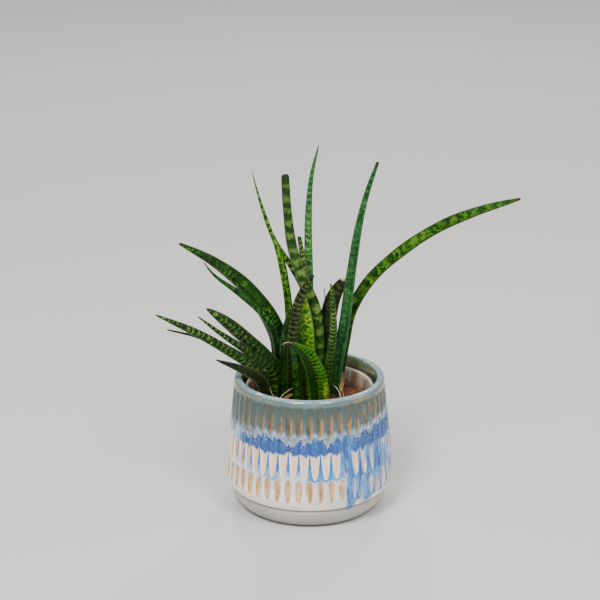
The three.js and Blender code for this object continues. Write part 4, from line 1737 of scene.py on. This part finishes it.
SHEATHS = (
    Blade(
        "dry_sheath_left", ((-17, -13, 63), (-14.5, -14.5, 68), (-9.5, -15.2, 72)),
        face=(0.3, -1, 0.3), width=2.6, depth=0.9, channel=0.2, tip=0.25, thin=3, finish=DRY_SHEATH,
    ),
    Blade(
        "dry_sheath_right", ((17.8, 3, 63), (18.6, 3, 69), (19.3, 3, 78)),
        face=(0, -1, 0), width=2, depth=0.8, channel=0.2, tip=0.25, thin=3, finish=DRY_SHEATH,
    ),
)
# Loose dry threads: the radius of each and the points that it runs through, in millimetres.
THREADS = (
    (0.22, ((-9.8, -13.8, 101.9), (-12, -14.2, 102.6), (-14.2, -14.4, 102.2), (-15.6, -14.4, 101.2))),
    (0.35, ((-17.4, -13.4, 65), (-16, -14.6, 70), (-13.2, -15.4, 73), (-9.6, -15.8, 75.6))),
    (0.25, ((-15, -12, 62), (-19, -14, 68), (-21.5, -14.5, 72), (-22.5, -15, 76))),
    (0.3, ((18.4, -4.4, 63), (17.2, -4, 68), (15.5, -3.5, 70.8), (13.8, -3, 72.4))),
    (0.25, ((19.8, -1, 62), (19.2, -1.5, 67), (17.6, -2.5, 70), (16.6, -3.5, 73))),
    (0.2, ((23.9, 23.7, 71.3), (23.7, 23.4, 69), (23.5, 23.0, 66), (23.2, 22.4, 62.5))),
    (0.2, ((30.8, 14.0, 71.2), (30.6, 13.8, 69), (30.2, 13.5, 66.5), (29.9, 13.6, 64))),
    (0.35, ((-20.9, 7.6, 81.2), (-20.6, 7.2, 81.6), (-20.2, 7.0, 81.5), (-19.9, 7.0, 81.0))),
)


@dataclass
class Plant:
    """Everything that grows: the leaves, dried sheaths, loose dry threads and the rootstock."""

    leaves: tuple[Blade, ...] = LEAVES
    sheaths: tuple[Blade, ...] = SHEATHS
    threads: tuple[tuple[float, tuple[Point, ...]], ...] = THREADS

    def thread_mesh(self) -> bpy.types.Object:
        """Makes the loose dry threads as one piece of thin tapering tubes."""
        vertices: list[np.ndarray] = []
        faces: list[tuple[int, ...]] = []
        around, rings, thinned = 6, 18, 0.7
        aside = (0.3, -1.0, 0.2)
        for radius, route in self.threads:
            line = smooth_run(route, rings)
            tangent = unit_rows(np.gradient(line, axis=0))
            side = unit_rows(np.cross(tangent, np.array(aside)))
            up = np.cross(side, tangent)
            angle = turns(around)
            thin = radius * (1 - thinned * np.linspace(0, 1, rings)[:, None, None])
            ring = side[:, None, :] * np.cos(angle)[:, None] + up[:, None, :] * np.sin(angle)[:, None]
            start = sum(len(part) for part in vertices)
            vertices.append((line[:, None, :] - ring * thin).reshape(-1, 3))
            faces += ring_faces(rings, around, start)
            faces.append(tuple(start + around - 1 - i for i in range(around)))
            faces.append(tuple(start + (rings - 1) * around + i for i in range(around)))
        return mesh_object("dry_threads", np.concatenate(vertices) * MM, faces)

    def build(self) -> None:
        """Makes every growing piece, and gives the frame's own rootstock its skin."""
        for blade in self.leaves + self.sheaths:
            blade.build()
        dress(self.thread_mesh(), PALE_THREAD)
        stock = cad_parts["rootstock"]
        stock.data.materials.clear()
        stock.data.materials.append(material_of(ROOT_SKIN))


# ---------------------------------------------------------------- setting


class LightRole(Enum):
    """What each studio light is for: name, place, aim, size, power and colour."""

    KEY = ("key", (-0.5, -1.15, 1.5), (0.0, 0.0, 0.08), 0.6, 36.0, (1.0, 0.98, 0.95))
    SECOND = ("second", (0.65, -1.1, 1.45), (0.0, 0.0, 0.08), 0.5, 17.0, (1.0, 0.99, 0.97))
    FRONT = ("front", (0.1, -2.2, 0.7), (0.0, 0.0, 0.08), 1.4, 10.0, (1.0, 0.99, 0.98))
    SIDE = ("side", (1.5, -0.2, 0.9), (0.0, 0.0, 0.08), 0.8, 5.0, (0.95, 0.98, 1.0))
    BACK_LEFT = ("back_left", (-0.34, 1.4, 1.4), (0.0, 0.0, 0.08), 0.34, 8.0, (1.0, 1.0, 1.0))
    BACK_RIGHT = ("back_right", (0.42, 1.4, 1.4), (0.0, 0.0, 0.08), 0.4, 9.0, (1.0, 1.0, 1.0))


@dataclass
class Studio:
    """The pale floor, the soft lights and the camera.

    Lengths are in metres, but for the sensor's width in millimetres, and elevation is in degrees.
    """

    elevation: float = 19.2
    distance: float = 1.15
    target: Point = (-0.0054, 0.0, 0.1229)
    view_width: float = 0.3396
    sensor: float = 36.0
    nearest: float = 0.02
    floor_size: float = 8.0
    world_grey: float = 0.9
    world_blue: float = 1.02
    world_strength: float = 0.34

    def camera(self) -> None:
        """Sets the camera in front of the object, a little above it."""
        data = bpy.data.cameras.new("camera")
        data.sensor_width = self.sensor
        data.lens = self.sensor * self.distance / self.view_width
        data.clip_start = self.nearest
        camera = bpy.data.objects.new("camera", data)
        rise = math.radians(self.elevation)
        away = Vector((0, -math.cos(rise), math.sin(rise))) * self.distance
        camera.location = Vector(self.target) + away
        camera.rotation_euler = (-away).to_track_quat("-Z", "Y").to_euler()
        bpy.context.scene.collection.objects.link(camera)
        bpy.context.scene.camera = camera

    def lights(self) -> None:
        """Hangs the soft lights and sets an even, faintly blue grey world."""
        for role in LightRole:
            name, place, aim, size, power, colour = role.value
            data = bpy.data.lights.new(name, "AREA")
            data.shape = "DISK"
            data.size = size
            data.energy = power
            data.color = colour
            light = bpy.data.objects.new(name, data)
            light.location = place
            light.rotation_euler = (Vector(aim) - Vector(place)).to_track_quat("-Z", "Y").to_euler()
            bpy.context.scene.collection.objects.link(light)
        world = bpy.data.worlds.new("studio")
        world.use_nodes = True
        grey = self.world_grey
        background = world.node_tree.nodes["Background"]
        background.inputs["Color"].default_value = (grey, grey, grey * self.world_blue, 1)
        background.inputs["Strength"].default_value = self.world_strength
        bpy.context.scene.world = world

    def floor(self) -> None:
        """Lays the floor at the height that the pot stands on."""
        half = self.floor_size / 2
        level = CAD_BOX[0][2]
        square = ((-half, -half), (half, -half), (half, half), (-half, half))
        corners = np.array([(x, y, level) for x, y in square])
        floor = mesh_object("floor", corners, [(0, 1, 2, 3)])
        floor.data.materials.append(material_of(FloorFinish("pale_floor", "floor")))


def main() -> None:
    """Builds the object and its setting in order."""
    logging.basicConfig(level=logging.INFO, format="%(name)s: %(message)s")
    studio = Studio()
    studio.camera()
    studio.lights()
    studio.floor()
    CoverPot().build()
    NurseryPot().build()
    GrowingMedium().build()
    Plant().build()


if __name__ == "__main__":
    main()
